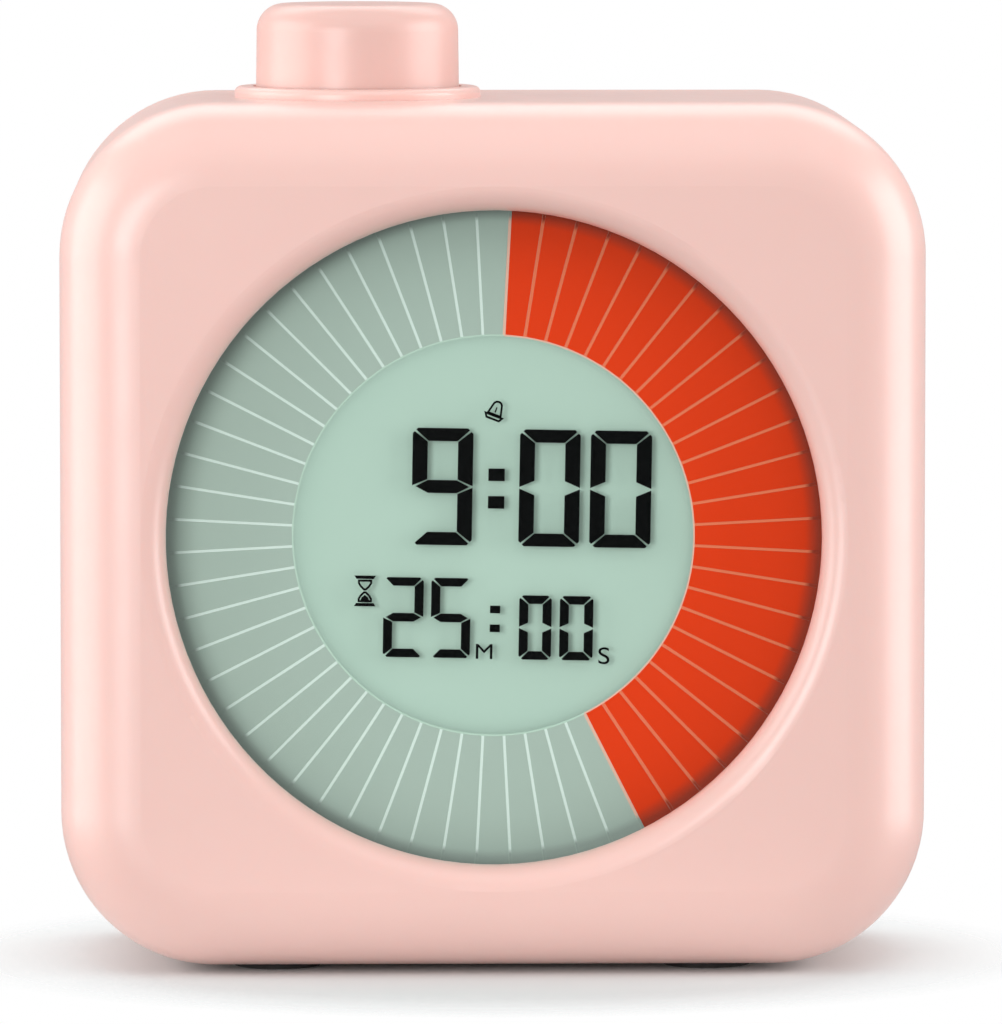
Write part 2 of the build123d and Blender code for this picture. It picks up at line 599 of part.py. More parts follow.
    # Dishes and holes for the buttons and the sound switch
    with BuildSketch(facing(BACK_Y, KEY_X, BUTTON_Z)):
        SlotCenterToCenter(BUTTON_SPACING, 2 * (BUTTON_RADIUS + BUTTON_DISH_MARGIN))
    extrude(amount=KEY_DISH_DEPTH, mode=Mode.SUBTRACT)
    with BuildSketch(facing(BACK_Y, KEY_X, BUTTON_Z)):
        with GridLocations(BUTTON_SPACING, 0, 2, 1):
            Circle(BUTTON_RADIUS + BUTTON_GAP)
    extrude(amount=WALL, mode=Mode.SUBTRACT)
    with BuildSketch(facing(BACK_Y, KEY_X, SLIDER_Z)):
        RectangleRounded(
            SLIDER_SLOT_LENGTH + 2 * SLIDER_DISH_MARGIN,
            SLIDER_SLOT_HEIGHT + 2 * SLIDER_DISH_MARGIN,
            SLIDER_DISH_MARGIN,
        )
    extrude(amount=KEY_DISH_DEPTH, mode=Mode.SUBTRACT)
    with BuildSketch(facing(BACK_Y, KEY_X, SLIDER_Z)):
        Rectangle(SLIDER_SLOT_LENGTH, SLIDER_SLOT_HEIGHT)
    extrude(amount=WALL, mode=Mode.SUBTRACT)
    # Sound grille: a middle hole and two rings of holes
    with BuildSketch(facing(BACK_Y, BUZZER_X, BUZZER_Z)):
        Circle(GRILLE_HOLE_RADIUS)
        for ring in range(1, GRILLE_RINGS + 1):
            with PolarLocations(ring * GRILLE_PITCH, 6 * ring):
                Circle(GRILLE_HOLE_RADIUS)
    extrude(amount=WALL, mode=Mode.SUBTRACT)
    # Screw wells, clearance holes and the pilot holes of the key posts
    with BuildSketch(facing(BACK_Y)):
        with PolarLocations(SCREW_REACH, 4, start_angle=45):
            Circle(SCREW_RADIUS + HOLE_GAP)
    extrude(amount=COVER_DEPTH, mode=Mode.SUBTRACT)
    with BuildSketch(facing(BACK_Y)):
        with PolarLocations(SCREW_REACH, 4, start_angle=45):
            Circle(SCREW_HEAD_RADIUS + HOLE_GAP)
    extrude(amount=SCREW_SINK, mode=Mode.SUBTRACT)
    with BuildSketch(facing(KEY_BOARD_BACK_Y, KEY_X, KEY_POST_Z)):
        with GridLocations(KEY_POST_SPACING, 0, 2, 1):
            Circle(SMALL_SCREW_RADIUS + PILOT_GAP)
    extrude(amount=KEY_BOARD_BACK_Y - COVER_INNER_Y, mode=Mode.SUBTRACT)
finish(rear_cover.part, "rear_cover")

# Case screws, driven from the back
with BuildPart() as case_screws:
    with BuildSketch(facing(BACK_Y - SCREW_SINK)):
        with PolarLocations(SCREW_REACH, 4, start_angle=45):
            Circle(SCREW_RADIUS)
    extrude(amount=COVER_DEPTH - SCREW_SINK + SCREW_BITE)
    with BuildSketch(facing(BACK_Y - SCREW_SINK)):
        with PolarLocations(SCREW_REACH, 4, start_angle=45):
            Circle(SCREW_HEAD_RADIUS)
    extrude(amount=-SCREW_HEAD_HEIGHT)
finish(case_screws.part, "case_screws")

# Four rubber feet
with BuildPart() as rubber_feet:
    with BuildSketch(Plane.XY):
        with GridLocations(SIDE - 2 * FOOT_SIDE_INSET, FOOT_SPREAD, 2, 2):
            Circle(FOOT_RADIUS)
    extrude(amount=FOOT_PROUD + FOOT_SEAT)
finish(rubber_feet.part, "rubber_feet")

# Adhesive ring, lens and black gasket behind the window
with BuildPart() as lens_tape:
    with BuildSketch(facing(LENS_Y)):
        Circle(WINDOW_RADIUS + LENS_LAP)
        Circle(WINDOW_RADIUS + LENS_LAP - TAPE_WIDTH, mode=Mode.SUBTRACT)
    extrude(amount=TAPE_THICKNESS)
finish(lens_tape.part, "lens_tape")

with BuildPart() as window_lens:
    with BuildSketch(facing(GASKET_Y)):
        Circle(WINDOW_RADIUS + LENS_LAP)
    extrude(amount=LENS_THICKNESS)
finish(window_lens.part, "window_lens")

with BuildPart() as display_gasket:
    with BuildSketch(facing(POLARISER_Y)):
        Circle(WINDOW_RADIUS + GASKET_INSET + GASKET_WIDTH)
        Circle(WINDOW_RADIUS + GASKET_INSET, mode=Mode.SUBTRACT)
    extrude(amount=GASKET_THICKNESS)
finish(display_gasket.part, "display_gasket")

# Display cell: polariser and two glasses, the front one with a contact ledge, and the minute ring between them
with BuildPart() as front_polariser:
    with BuildSketch(facing(GLASS_Y)):
        Polygon(*pane(GLASS_HALF, GLASS_HALF, GLASS_HALF, GLASS_CORNER), align=None)
    extrude(amount=POLARISER_THICKNESS)
finish(front_polariser.part, "front_polariser")

with BuildPart() as front_glass:
    with BuildSketch(facing(CELL_Y)):
        Polygon(*pane(GLASS_HALF, GLASS_HALF, GLASS_HALF + CONTACT_LEDGE, GLASS_CORNER), align=None)
    extrude(amount=GLASS_THICKNESS)
finish(front_glass.part, "front_glass")

with BuildPart() as rear_glass:
    with BuildSketch(facing(REFLECTOR_Y)):
        Polygon(*pane(GLASS_HALF, GLASS_HALF, GLASS_HALF, GLASS_CORNER), align=None)
    extrude(amount=GLASS_THICKNESS)
finish(rear_glass.part, "rear_glass")

# The ring starts with the first minute right of twelve o'clock and its red part runs clockwise
with BuildPart() as minutes_left:
    with BuildSketch(facing(REAR_GLASS_Y)):
        with PolarLocations(
            0, MINUTES_LEFT, 90 - MINUTES_LEFT * MINUTE_ANGLE, MINUTES_LEFT * MINUTE_ANGLE, endpoint=False
        ):
            Polygon(
                (RING_INNER_RADIUS, -RING_INNER_HALF),
                (RING_OUTER_RADIUS, -RING_OUTER_HALF),
                (RING_OUTER_RADIUS, RING_OUTER_HALF),
                (RING_INNER_RADIUS, RING_INNER_HALF),
                align=None,
            )
    extrude(amount=RING_THICKNESS)
finish(minutes_left.part, "minutes_left")

with BuildPart() as minutes_gone:
    with BuildSketch(facing(REAR_GLASS_Y)):
        with PolarLocations(
            0, MINUTES - MINUTES_LEFT, 90, (MINUTES - MINUTES_LEFT) * MINUTE_ANGLE, endpoint=False
        ):
            Polygon(
                (RING_INNER_RADIUS, -RING_INNER_HALF),
                (RING_OUTER_RADIUS, -RING_OUTER_HALF),
                (RING_OUTER_RADIUS, RING_OUTER_HALF),
                (RING_INNER_RADIUS, RING_INNER_HALF),
                align=None,
            )
    extrude(amount=RING_THICKNESS)
finish(minutes_gone.part, "minutes_gone")

with BuildPart() as reflector_film:
    with BuildSketch(facing(GUIDE_Y)):
        Polygon(*pane(GLASS_HALF, GLASS_HALF, GLASS_HALF, GLASS_CORNER), align=None)
    extrude(amount=REFLECTOR_THICKNESS)
finish(reflector_film.part, "reflector_film")

# Light guide with notches for two side-firing LEDs in its top edge
with BuildPart() as backlight_guide:
    with BuildSketch(facing(FLOOR_Y)):
        Polygon(*pane(GLASS_HALF, GLASS_HALF, GLASS_HALF, GLASS_CORNER), align=None)
    extrude(amount=GUIDE_THICKNESS)
    with BuildSketch(facing(FLOOR_Y, z=GLASS_HALF - LED_DEPTH / 2)):
        with GridLocations(LED_SPACING, 0, 2, 1):
            Rectangle(LED_WIDTH + 2 * LED_GAP, LED_DEPTH + 2 * LED_GAP)
    extrude(amount=GUIDE_THICKNESS, mode=Mode.SUBTRACT)
finish(backlight_guide.part, "backlight_guide")

with BuildPart() as backlight_leds:
    with BuildSketch(facing(FLOOR_Y, z=GLASS_HALF - LED_DEPTH / 2)):
        with GridLocations(LED_SPACING, 0, 2, 1):
            Rectangle(LED_WIDTH, LED_DEPTH)
    extrude(amount=LED_HEIGHT)
finish(backlight_leds.part, "backlight_leds")

# Tray that holds the display stack against the main board
with BuildPart() as display_frame:
    with BuildSketch(facing(BOARD_Y)):
        outer = GLASS_HALF + FRAME_GAP + FRAME_WALL
        Polygon(*pane(outer, outer, outer + CONTACT_LEDGE, FRAME_CORNER), align=None)
    extrude(amount=BOARD_Y - GLASS_Y)
    with BuildSketch(facing(FLOOR_Y)):
        inner = GLASS_HALF + FRAME_GAP
        Polygon(*pane(inner, inner, inner + CONTACT_LEDGE, GLASS_CORNER + FRAME_GAP), align=None)
    extrude(amount=FLOOR_Y - GLASS_Y, mode=Mode.SUBTRACT)
    with BuildSketch(facing(BOARD_Y, z=ZEBRA_Z)):
        Rectangle(ZEBRA_LENGTH + 2 * FRAME_GAP, ZEBRA_WIDTH + 2 * FRAME_GAP)
    extrude(amount=FRAME_FLOOR, mode=Mode.SUBTRACT)
finish(display_frame.part, "display_frame")

with BuildPart() as zebra_strip:
    with BuildSketch(facing(BOARD_Y, z=ZEBRA_Z)):
        Rectangle(ZEBRA_LENGTH, ZEBRA_WIDTH)
    extrude(amount=BOARD_Y - CELL_Y)
finish(zebra_strip.part, "zebra_strip")

# Main board, notched at the corners to pass the case bosses and at the top to pass the encoder
with BuildPart() as main_board:
    with BuildSketch(facing(BOARD_BACK_Y)):
        RectangleRounded(BOARD_WIDTH, BOARD_HEIGHT, INNER_RADIUS - BOARD_SIDE_GAP)
        with PolarLocations(SCREW_REACH, 4, start_angle=45):
            Circle(BOARD_NOTCH, mode=Mode.SUBTRACT)
            Rectangle(
                2 * SCREW_CORNER_GAP, 2 * BOARD_NOTCH, align=(Align.MIN, Align.CENTER), mode=Mode.SUBTRACT
            )
        with Locations((KNOB_X, BOARD_HEIGHT / 2)):
            Rectangle(ENCODER_SIZE + 2 * ENCODER_BOARD_GAP, 2 * ENCODER_NOTCH, mode=Mode.SUBTRACT)
        with GridLocations(2 * BOARD_BOSS_X, 2 * BOARD_BOSS_Z, 2, 2):
            Circle(SMALL_SCREW_RADIUS + HOLE_GAP, mode=Mode.SUBTRACT)
    extrude(amount=BOARD_THICKNESS)
finish(main_board.part, "main_board")

with BuildPart() as board_screws:
    with BuildSketch(facing(BOARD_BACK_Y)):
        with GridLocations(2 * BOARD_BOSS_X, 2 * BOARD_BOSS_Z, 2, 2):
            Circle(SMALL_SCREW_RADIUS)
    extrude(amount=BOARD_THICKNESS + SMALL_BITE)
    with BuildSketch(facing(BOARD_BACK_Y)):
        with GridLocations(2 * BOARD_BOSS_X, 2 * BOARD_BOSS_Z, 2, 2):
            Circle(SMALL_HEAD_RADIUS)
    extrude(amount=-SMALL_HEAD_HEIGHT)
finish(board_screws.part, "board_screws")

# Epoxy dome over the controller chip
with BuildPart() as controller_blob:
    with BuildSketch(Plane((BLOB_X, 0, MID_Z + BLOB_Z))):
        with BuildLine():
            dome = ThreePointArc(
                (-BLOB_RADIUS, BOARD_BACK_Y), (0, BOARD_BACK_Y + BLOB_HEIGHT), (BLOB_RADIUS, BOARD_BACK_Y)
            )
            Line(dome @ 1, dome @ 0)
        make_face()
        split(bisect_by=Plane.YZ)
    revolve(axis=Axis((BLOB_X, 0, MID_Z + BLOB_Z), (0, 1, 0)))
finish(controller_blob.part, "controller_blob")

# Encoder body: base block with the bushing that passes through the floor of the knob well
with BuildPart() as encoder_base:
    with BuildSketch(level(ENCODER_Z)):
        Rectangle(ENCODER_SIZE, ENCODER_SIZE)
    extrude(amount=ENCODER_HEIGHT)
    with BuildSketch(level(SHOULDER_Z)):
        Circle(BUSHING_RADIUS)
    extrude(amount=BUSHING_LENGTH)
    with BuildSketch(level(ROTOR_CAVITY_Z)):
        Circle(ROTOR_RADIUS + ROTOR_GAP)
    extrude(amount=ROOF_Z - ROTOR_CAVITY_Z, mode=Mode.SUBTRACT)
    with BuildSketch(level(SPINDLE_WELL_Z)):
        Circle(SPINDLE_RADIUS + ROTOR_GAP)
    extrude(amount=ROTOR_CAVITY_Z - SPINDLE_WELL_Z, mode=Mode.SUBTRACT)
    with BuildSketch(level(ROOF_Z)):
        Circle(SHAFT_RADIUS + SHAFT_FIT)
    extrude(amount=BUSHING_TOP_Z - ROOF_Z, mode=Mode.SUBTRACT)
    with BuildSketch(level(PIN_Z)):
        with GridLocations(PIN_PITCH, 0, PIN_COUNT, 1):
            Circle(PIN_RADIUS)
    extrude(amount=PIN_LENGTH)
finish(encoder_base.part, "encoder_base")

with BuildPart() as encoder_rotor:
    with BuildSketch(level(ROTOR_Z)):
        Circle(ROTOR_RADIUS)
        with BuildSketch(mode=Mode.SUBTRACT):
            Circle(SPINDLE_RADIUS + SHAFT_FIT)
            with Locations((SPINDLE_FLAT + SHAFT_FIT, 0)):
                Rectangle(
                    SPINDLE_RADIUS, 4 * SPINDLE_RADIUS, align=(Align.MIN, Align.CENTER), mode=Mode.SUBTRACT
                )
    extrude(amount=ROTOR_TOP_Z - ROTOR_Z)
finish(encoder_rotor.part, "encoder_rotor")

# Shaft: flatted spindle in the rotor, round in the bushing, flatted again in the knob
with BuildPart() as encoder_shaft:
    with BuildSketch(level(SPINDLE_Z)):
        Circle(SPINDLE_RADIUS)
        with Locations((SPINDLE_FLAT, 0)):
            Rectangle(SPINDLE_RADIUS, 4 * SPINDLE_RADIUS, align=(Align.MIN, Align.CENTER), mode=Mode.SUBTRACT)
    extrude(amount=SHAFT_STEP_Z - SPINDLE_Z)
    with BuildSketch(level(SHAFT_STEP_Z)):
        Circle(SHAFT_RADIUS)
    extrude(amount=BUSHING_TOP_Z - SHAFT_STEP_Z)
    with BuildSketch(level(BUSHING_TOP_Z)):
        Circle(SHAFT_RADIUS)
        with Locations((SHAFT_FLAT, 0)):
            Rectangle(SHAFT_RADIUS, 4 * SHAFT_RADIUS, align=(Align.MIN, Align.CENTER), mode=Mode.SUBTRACT)
    extrude(amount=SHAFT_TOP_Z - BUSHING_TOP_Z)
finish(encoder_shaft.part, "encoder_shaft")

with BuildPart() as encoder_washer:
    with BuildSketch(level(WELL_Z)):
        Circle(WASHER_RADIUS)
        Circle(BUSHING_RADIUS + PILOT_GAP, mode=Mode.SUBTRACT)
    extrude(amount=WASHER_THICKNESS)
finish(encoder_washer.part, "encoder_washer")

with BuildPart() as encoder_nut:
    with BuildSketch(level(NUT_Z)):
        RegularPolygon(NUT_FLATS / 2, 6, major_radius=False)
        Circle(BUSHING_RADIUS + PILOT_GAP, mode=Mode.SUBTRACT)
    extrude(amount=NUT_HEIGHT)
finish(encoder_nut.part, "encoder_nut")

# Knob cap: hollow skirt that dips into the collar, with a flatted boss on the shaft
with BuildPart() as knob_cap:
    with BuildSketch(Plane((KNOB_X, KNOB_Y, 0), x_dir=(1, 0, 0), z_dir=(0, -1, 0))):
        Polygon(
            (0, KNOB_BOTTOM_Z),
            (KNOB_RADIUS, KNOB_BOTTOM_Z),
            (KNOB_RADIUS - KNOB_DRAFT, KNOB_TOP_Z),
            (0, KNOB_TOP_Z),
            align=None,
        )
    revolve(axis=KNOB_AXIS)
    fillet(knob_cap.edges().filter_by(GeomType.CIRCLE).sort_by(Axis.Z)[-1], KNOB_EDGE_RADIUS)
    with BuildSketch(level(KNOB_BOTTOM_Z)):
        Circle(KNOB_RADIUS - KNOB_WALL)
    extrude(amount=KNOB_TOP_Z - KNOB_WALL - KNOB_BOTTOM_Z, mode=Mode.SUBTRACT)
    with BuildSketch(level(KNOB_BOSS_Z)):
        Circle(KNOB_BOSS_RADIUS)
    extrude(amount=KNOB_TOP_Z - KNOB_WALL - KNOB_BOSS_Z)
    with BuildSketch(level(KNOB_BOSS_Z)):
        Circle(SHAFT_RADIUS + SHAFT_FIT)
        with Locations((SHAFT_FLAT + SHAFT_FIT, 0)):
            Rectangle(SHAFT_RADIUS, 4 * SHAFT_RADIUS, align=(Align.MIN, Align.CENTER), mode=Mode.SUBTRACT)
    extrude(amount=SHAFT_TOP_Z + SHAFT_FIT - KNOB_BOSS_Z, mode=Mode.SUBTRACT)
finish(knob_cap.part, "knob_cap")

# Key board on two posts of the rear cover
with BuildPart() as key_board:
    with BuildSketch(facing(KEY_BOARD_BACK_Y, KEY_X, KEY_Z)):
        Rectangle(KEY_BOARD_WIDTH, KEY_BOARD_HEIGHT)
        with Locations((0, -KEY_POST_DROP)):
            with GridLocations(KEY_POST_SPACING, 0, 2, 1):
                Circle(SMALL_SCREW_RADIUS + HOLE_GAP, mode=Mode.SUBTRACT)
    extrude(amount=KEY_BOARD_THICKNESS)
finish(key_board.part, "key_board")

with BuildPart() as key_board_screws:
    with BuildSketch(facing(KEY_BOARD_Y, KEY_X, KEY_POST_Z)):
        with GridLocations(KEY_POST_SPACING, 0, 2, 1):
            Circle(SMALL_HEAD_RADIUS)
    extrude(amount=SMALL_HEAD_HEIGHT)
    with BuildSketch(facing(KEY_BOARD_Y, KEY_X, KEY_POST_Z)):
        with GridLocations(KEY_POST_SPACING, 0, 2, 1):
            Circle(SMALL_SCREW_RADIUS)
    extrude(amount=KEY_BOARD_Y - COVER_INNER_Y + WALL / 2)
finish(key_board_screws.part, "key_board_screws")

# Tactile switches with a well for each plunger
with BuildPart() as tact_switches:
    with BuildSketch(facing(TACT_TOP_Y, KEY_X, BUTTON_Z)):
        with GridLocations(BUTTON_SPACING, 0, 2, 1):
            Rectangle(TACT_SIZE, TACT_SIZE)
    extrude(amount=TACT_HEIGHT)
    with BuildSketch(facing(TACT_TOP_Y, KEY_X, BUTTON_Z)):
        with GridLocations(BUTTON_SPACING, 0, 2, 1):
            Circle(PLUNGER_RADIUS + PLUNGER_GAP)
    extrude(amount=TACT_TOP_Y - PLUNGER_WELL_Y, mode=Mode.SUBTRACT)
finish(tact_switches.part, "tact_switches")

# Each button with its plunger, the mode button on the side of the knob
for name, side in (("mode", -1), ("set", 1)):
    button_x = KEY_X + side * BUTTON_SPACING / 2
    with BuildPart() as plunger:
        with BuildSketch(facing(PLUNGER_TOP_Y, button_x, BUTTON_Z)):
            Circle(PLUNGER_RADIUS)
        extrude(amount=PLUNGER_TOP_Y - PLUNGER_Y)
    finish(plunger.part, f"{name}_plunger")
    with BuildPart() as button:
        with BuildSketch(facing(FLANGE_Y, button_x, BUTTON_Z)):
            Circle(BUTTON_FLANGE_RADIUS)
        extrude(amount=BUTTON_FLANGE_THICKNESS)
        with BuildSketch(facing(BACK_Y - BUTTON_SHY, button_x, BUTTON_Z)):
            Circle(BUTTON_RADIUS)
        extrude(amount=BACK_Y - BUTTON_SHY - FLANGE_Y)
        fillet(button.edges().sort_by(Axis.Y)[-1], BUTTON_EDGE_RADIUS)
    finish(button.part, f"{name}_button")

# Sound switch body with the slot its stem runs in, and the slider
with BuildPart() as sound_switch:
    with BuildSketch(facing(SWITCH_TOP_Y, KEY_X, SLIDER_Z)):
        Rectangle(SWITCH_LENGTH, SWITCH_HEIGHT)
    extrude(amount=SWITCH_DEPTH)
    with BuildSketch(facing(SWITCH_TOP_Y, KEY_X, SLIDER_Z)):
        Rectangle(SLIDER_STEM + 2 * SLIDER_TRAVEL + 2 * SLIDER_GAP, SLIDER_STEM + 2 * SLIDER_GAP)
    extrude(amount=STEM_BITE + SLIDER_GAP, mode=Mode.SUBTRACT)
finish(sound_switch.part, "sound_switch")

with BuildPart() as sound_slider:
    with BuildSketch(facing(FLANGE_Y, KEY_X, SLIDER_Z)):
        Rectangle(SLIDER_PLATE_LENGTH, SLIDER_PLATE_HEIGHT)
    extrude(amount=SLIDER_PLATE_THICKNESS)
    with BuildSketch(facing(SLIDER_PLATE_Y, KEY_X, SLIDER_Z)):
        Rectangle(SLIDER_STEM, SLIDER_STEM)
    extrude(amount=SLIDER_PLATE_Y - STEM_Y)
    with BuildSketch(facing(BACK_Y - SLIDER_SHY, KEY_X, SLIDER_Z)):
        Rectangle(SLIDER_LENGTH, SLIDER_HEIGHT)
    extrude(amount=BACK_Y - SLIDER_SHY - FLANGE_Y)
    fillet(sound_slider.faces().sort_by(Axis.Y)[-1].edges(), SLIDER_EDGE_RADIUS)
finish(sound_slider.part, "sound_slider")

# Buzzer: a cup behind the grille with its sounding disc on a ledge
with BuildPart() as buzzer_case:
    with BuildSketch(facing(COVER_INNER_Y, BUZZER_X, BUZZER_Z)):
        Circle(BUZZER_RADIUS)
    extrude(amount=BUZZER_HEIGHT)
    with BuildSketch(facing(COVER_INNER_Y, BUZZER_X, BUZZER_Z)):
        Circle(BUZZER_RADIUS - BUZZER_WALL)
    extrude(amount=COVER_INNER_Y - DISC_Y, mode=Mode.SUBTRACT)
    with BuildSketch(facing(DISC_Y, BUZZER_X, BUZZER_Z)):
        Circle(BUZZER_RADIUS - BUZZER_WALL - DISC_LEDGE)
    extrude(amount=DISC_Y - BUZZER_Y - BUZZER_WALL, mode=Mode.SUBTRACT)
finish(buzzer_case.part, "buzzer_case")

with BuildPart() as buzzer_disc:
    with BuildSketch(facing(DISC_Y + DISC_THICKNESS, BUZZER_X, BUZZER_Z)):
        Circle(BUZZER_RADIUS - BUZZER_WALL - PILOT_GAP)
    extrude(amount=DISC_THICKNESS)
finish(buzzer_disc.part, "buzzer_disc")

# Two cells lying head to tail, each pushed against its positive contact
with BuildPart() as battery_cells:
    for side in (-1, 1):
        with BuildSketch(
            Plane((side * CELL_SHIFT, CELL_CENTRE_Y, CELL_Z + side * CELL_PITCH / 2), x_dir=(side, 0, 0))
        ):
            Polygon(
                (-CELL_LENGTH / 2, 0),
                (-CELL_LENGTH / 2, CELL_DIAMETER / 2),
                (CELL_LENGTH / 2 - CELL_NUB_LENGTH, CELL_DIAMETER / 2),
                (CELL_LENGTH / 2 - CELL_NUB_LENGTH, CELL_NUB_RADIUS),
                (CELL_LENGTH / 2, CELL_NUB_RADIUS),
                (CELL_LENGTH / 2, 0),
                align=None,
            )
        revolve(axis=Axis((0, CELL_CENTRE_Y, CELL_Z + side * CELL_PITCH / 2), (1, 0, 0)))
    rims = battery_cells.edges().filter_by(GeomType.CIRCLE).group_by(SortBy.RADIUS)[-1]
    fillet(rims, CELL_EDGE_RADIUS)
finish(battery_cells.part, "battery_cells")

# Positive contact: plate with a raised pad and a solder tail through the end wall of the bay
with BuildPart() as positive_contact:
    with BuildSketch(end_wall(-1, -1)):
        Rectangle(CONTACT_HEIGHT, CONTACT_HEIGHT)
    extrude(amount=CONTACT_THICKNESS)
    with BuildSketch(end_wall(-1, -1)):
        Circle(CELL_NUB_RADIUS)
    extrude(amount=CONTACT_THICKNESS + PAD_HEIGHT)
    with BuildSketch(end_wall(-1, -1)):
        with Locations((TAIL_Y - CELL_CENTRE_Y, 0)):
            Rectangle(CONTACT_THICKNESS, TAIL_WIDTH)
    extrude(amount=-BAY_WALL - TAIL_LENGTH - LEAD_STEP)
finish(positive_contact.part, "positive_contact")

# Negative contact: plate with a bent leaf and a solder tail
with BuildPart() as negative_contact:
    with BuildSketch(leaf_plane(-1)):
        Polygon(*LEAF_OUTLINE, align=None)
    extrude(amount=LEAF_WIDTH / 2, both=True)
    with BuildSketch(end_wall(-1, 1)):
        with Locations((TAIL_Y - CELL_CENTRE_Y, 0)):
            Rectangle(CONTACT_THICKNESS, TAIL_WIDTH)
    extrude(amount=-BAY_WALL - TAIL_LENGTH)
finish(negative_contact.part, "negative_contact")

# Link contact at the other end: one strip joins the pad of one cell to the leaf of the other
with BuildPart() as link_contact:
    with BuildSketch(leaf_plane(1)):
        Polygon(*LEAF_OUTLINE, align=None)
    extrude(amount=LEAF_WIDTH / 2, both=True)
    with BuildSketch(end_wall(1, 0)):
        Rectangle(CONTACT_HEIGHT, CELL_PITCH + LEAF_WIDTH)
    extrude(amount=CONTACT_THICKNESS)
    with BuildSketch(end_wall(1, 1)):
        Circle(CELL_NUB_RADIUS)
    extrude(amount=CONTACT_THICKNESS + PAD_HEIGHT)
finish(link_contact.part, "link_contact")

# Battery door: plate with finger grooves, two hooked tabs at the bottom and a springy clip at the top
with BuildPart() as battery_door:
    with BuildSketch(facing(DOOR_OUTER_Y, z=BAY_Z)):
        RectangleRounded(DOOR_WIDTH, DOOR_HEIGHT, DOOR_CORNER_RADIUS)
    extrude(amount=DOOR_THICKNESS)
    with BuildSketch(facing(DOOR_OUTER_Y, z=DOOR_TOP_Z - GRIP_TOP_GAP)):
        with GridLocations(0, GRIP_PITCH, 1, GRIP_COUNT):
            SlotOverall(GRIP_WIDTH, GRIP_HEIGHT)
    extrude(amount=GRIP_DEPTH, mode=Mode.SUBTRACT)
    for side in (-1, 1):
        with BuildSketch(side_on(side * TAB_SPACING / 2)):
            Polygon(
                (DOOR_INNER_Y, DOOR_BOTTOM_Z),
                (DOOR_INNER_Y, DOOR_BOTTOM_Z + TAB_THICKNESS),
                (TAB_Y - TAB_THICKNESS, DOOR_BOTTOM_Z + TAB_THICKNESS),
                (TAB_Y - TAB_THICKNESS, TAB_DROP_Z),
                (TAB_Y, TAB_DROP_Z),
                (TAB_Y, DOOR_BOTTOM_Z),
                align=None,
            )
        extrude(amount=TAB_WIDTH / 2, both=True)
    with BuildSketch(side_on(0)):
        Polygon(
            (DOOR_INNER_Y, DOOR_TOP_Z - LATCH_WALL),
            (DOOR_INNER_Y, DOOR_TOP_Z),
            (LATCH_INNER_Y + LATCH_WALL, DOOR_TOP_Z),
            (LATCH_INNER_Y + LATCH_WALL, DOOR_TOP_Z + LATCH_SLOT),
            (DOOR_OUTER_Y, DOOR_TOP_Z + LATCH_SLOT),
            (DOOR_OUTER_Y, LATCH_TOP_Z),
            (LATCH_INNER_Y, LATCH_TOP_Z),
            (LATCH_INNER_Y, DOOR_TOP_Z - LATCH_WALL),
            align=None,
        )
    extrude(amount=LATCH_WIDTH / 2, both=True)
finish(battery_door.part, "battery_door")

# Flat ribbon from the main board to the key board
with BuildPart() as ribbon_cable:
    with BuildLine():
        route = FilletPolyline(
            (RIBBON_X, BOARD_BACK_Y + RIBBON_THICKNESS / 2, MID_Z + RIBBON_Z - RIBBON_END),
            (RIBBON_X, BOARD_BACK_Y + RIBBON_THICKNESS / 2, MID_Z + RIBBON_Z),
            (RIBBON_X, KEY_BOARD_Y - RIBBON_THICKNESS / 2, MID_Z + RIBBON_Z),
            (RIBBON_X, KEY_BOARD_Y - RIBBON_THICKNESS / 2, KEY_BOARD_BOTTOM_Z + RIBBON_END),
            radius=RIBBON_BEND,
        )
    with BuildSketch(Plane(route @ 0, x_dir=(1, 0, 0), z_dir=route % 0)):
        Rectangle(RIBBON_WIDTH, RIBBON_THICKNESS)
    sweep()
finish(ribbon_cable.part, "ribbon_cable")

# Leads from the contact tails up to the key board
with BuildPart() as battery_leads:
    for row, tail_length in ((-1, TAIL_LENGTH + LEAD_STEP), (1, TAIL_LENGTH)):
        lead_x = BAY_END_X - tail_length + LEAD_RADIUS
        with BuildLine():
            route = FilletPolyline(
                (lead_x, TAIL_Y, CELL_Z + row * CELL_PITCH / 2 + TAIL_WIDTH / 2),
                (lead_x, TAIL_Y, KEY_BOARD_BOTTOM_Z + LEAD_STEP),
                (lead_x, KEY_BOARD_Y, KEY_BOARD_BOTTOM_Z + LEAD_STEP),
                radius=LEAD_BEND,
            )
        with BuildSketch(Plane(route @ 0, z_dir=route % 0)):
            Circle(LEAD_RADIUS)
        sweep()
finish(battery_leads.part, "battery_leads")

# Leads from the back of the buzzer to the edge of the key board
with BuildPart() as buzzer_leads:
    for side in (-1, 1):
        with BuildLine():
            route = FilletPolyline(
                (BUZZER_X, BUZZER_Y, MID_Z + BUZZER_Z + side * LEAD_STEP),
                (BUZZER_X, KEY_BOARD_Y - LEAD_LOOP, MID_Z + BUZZER_Z + side * LEAD_STEP),
                (KEY_BOARD_EDGE_X - LEAD_STEP, KEY_BOARD_Y - LEAD_LOOP, MID_Z + BUZZER_Z + side * LEAD_STEP),
                (KEY_BOARD_EDGE_X - LEAD_STEP, KEY_BOARD_Y, MID_Z + BUZZER_Z + side * LEAD_STEP),
                radius=LEAD_BEND,
            )
        with BuildSketch(Plane(route @ 0, z_dir=route % 0)):
            Circle(LEAD_RADIUS)
        sweep()
finish(buzzer_leads.part, "buzzer_leads")

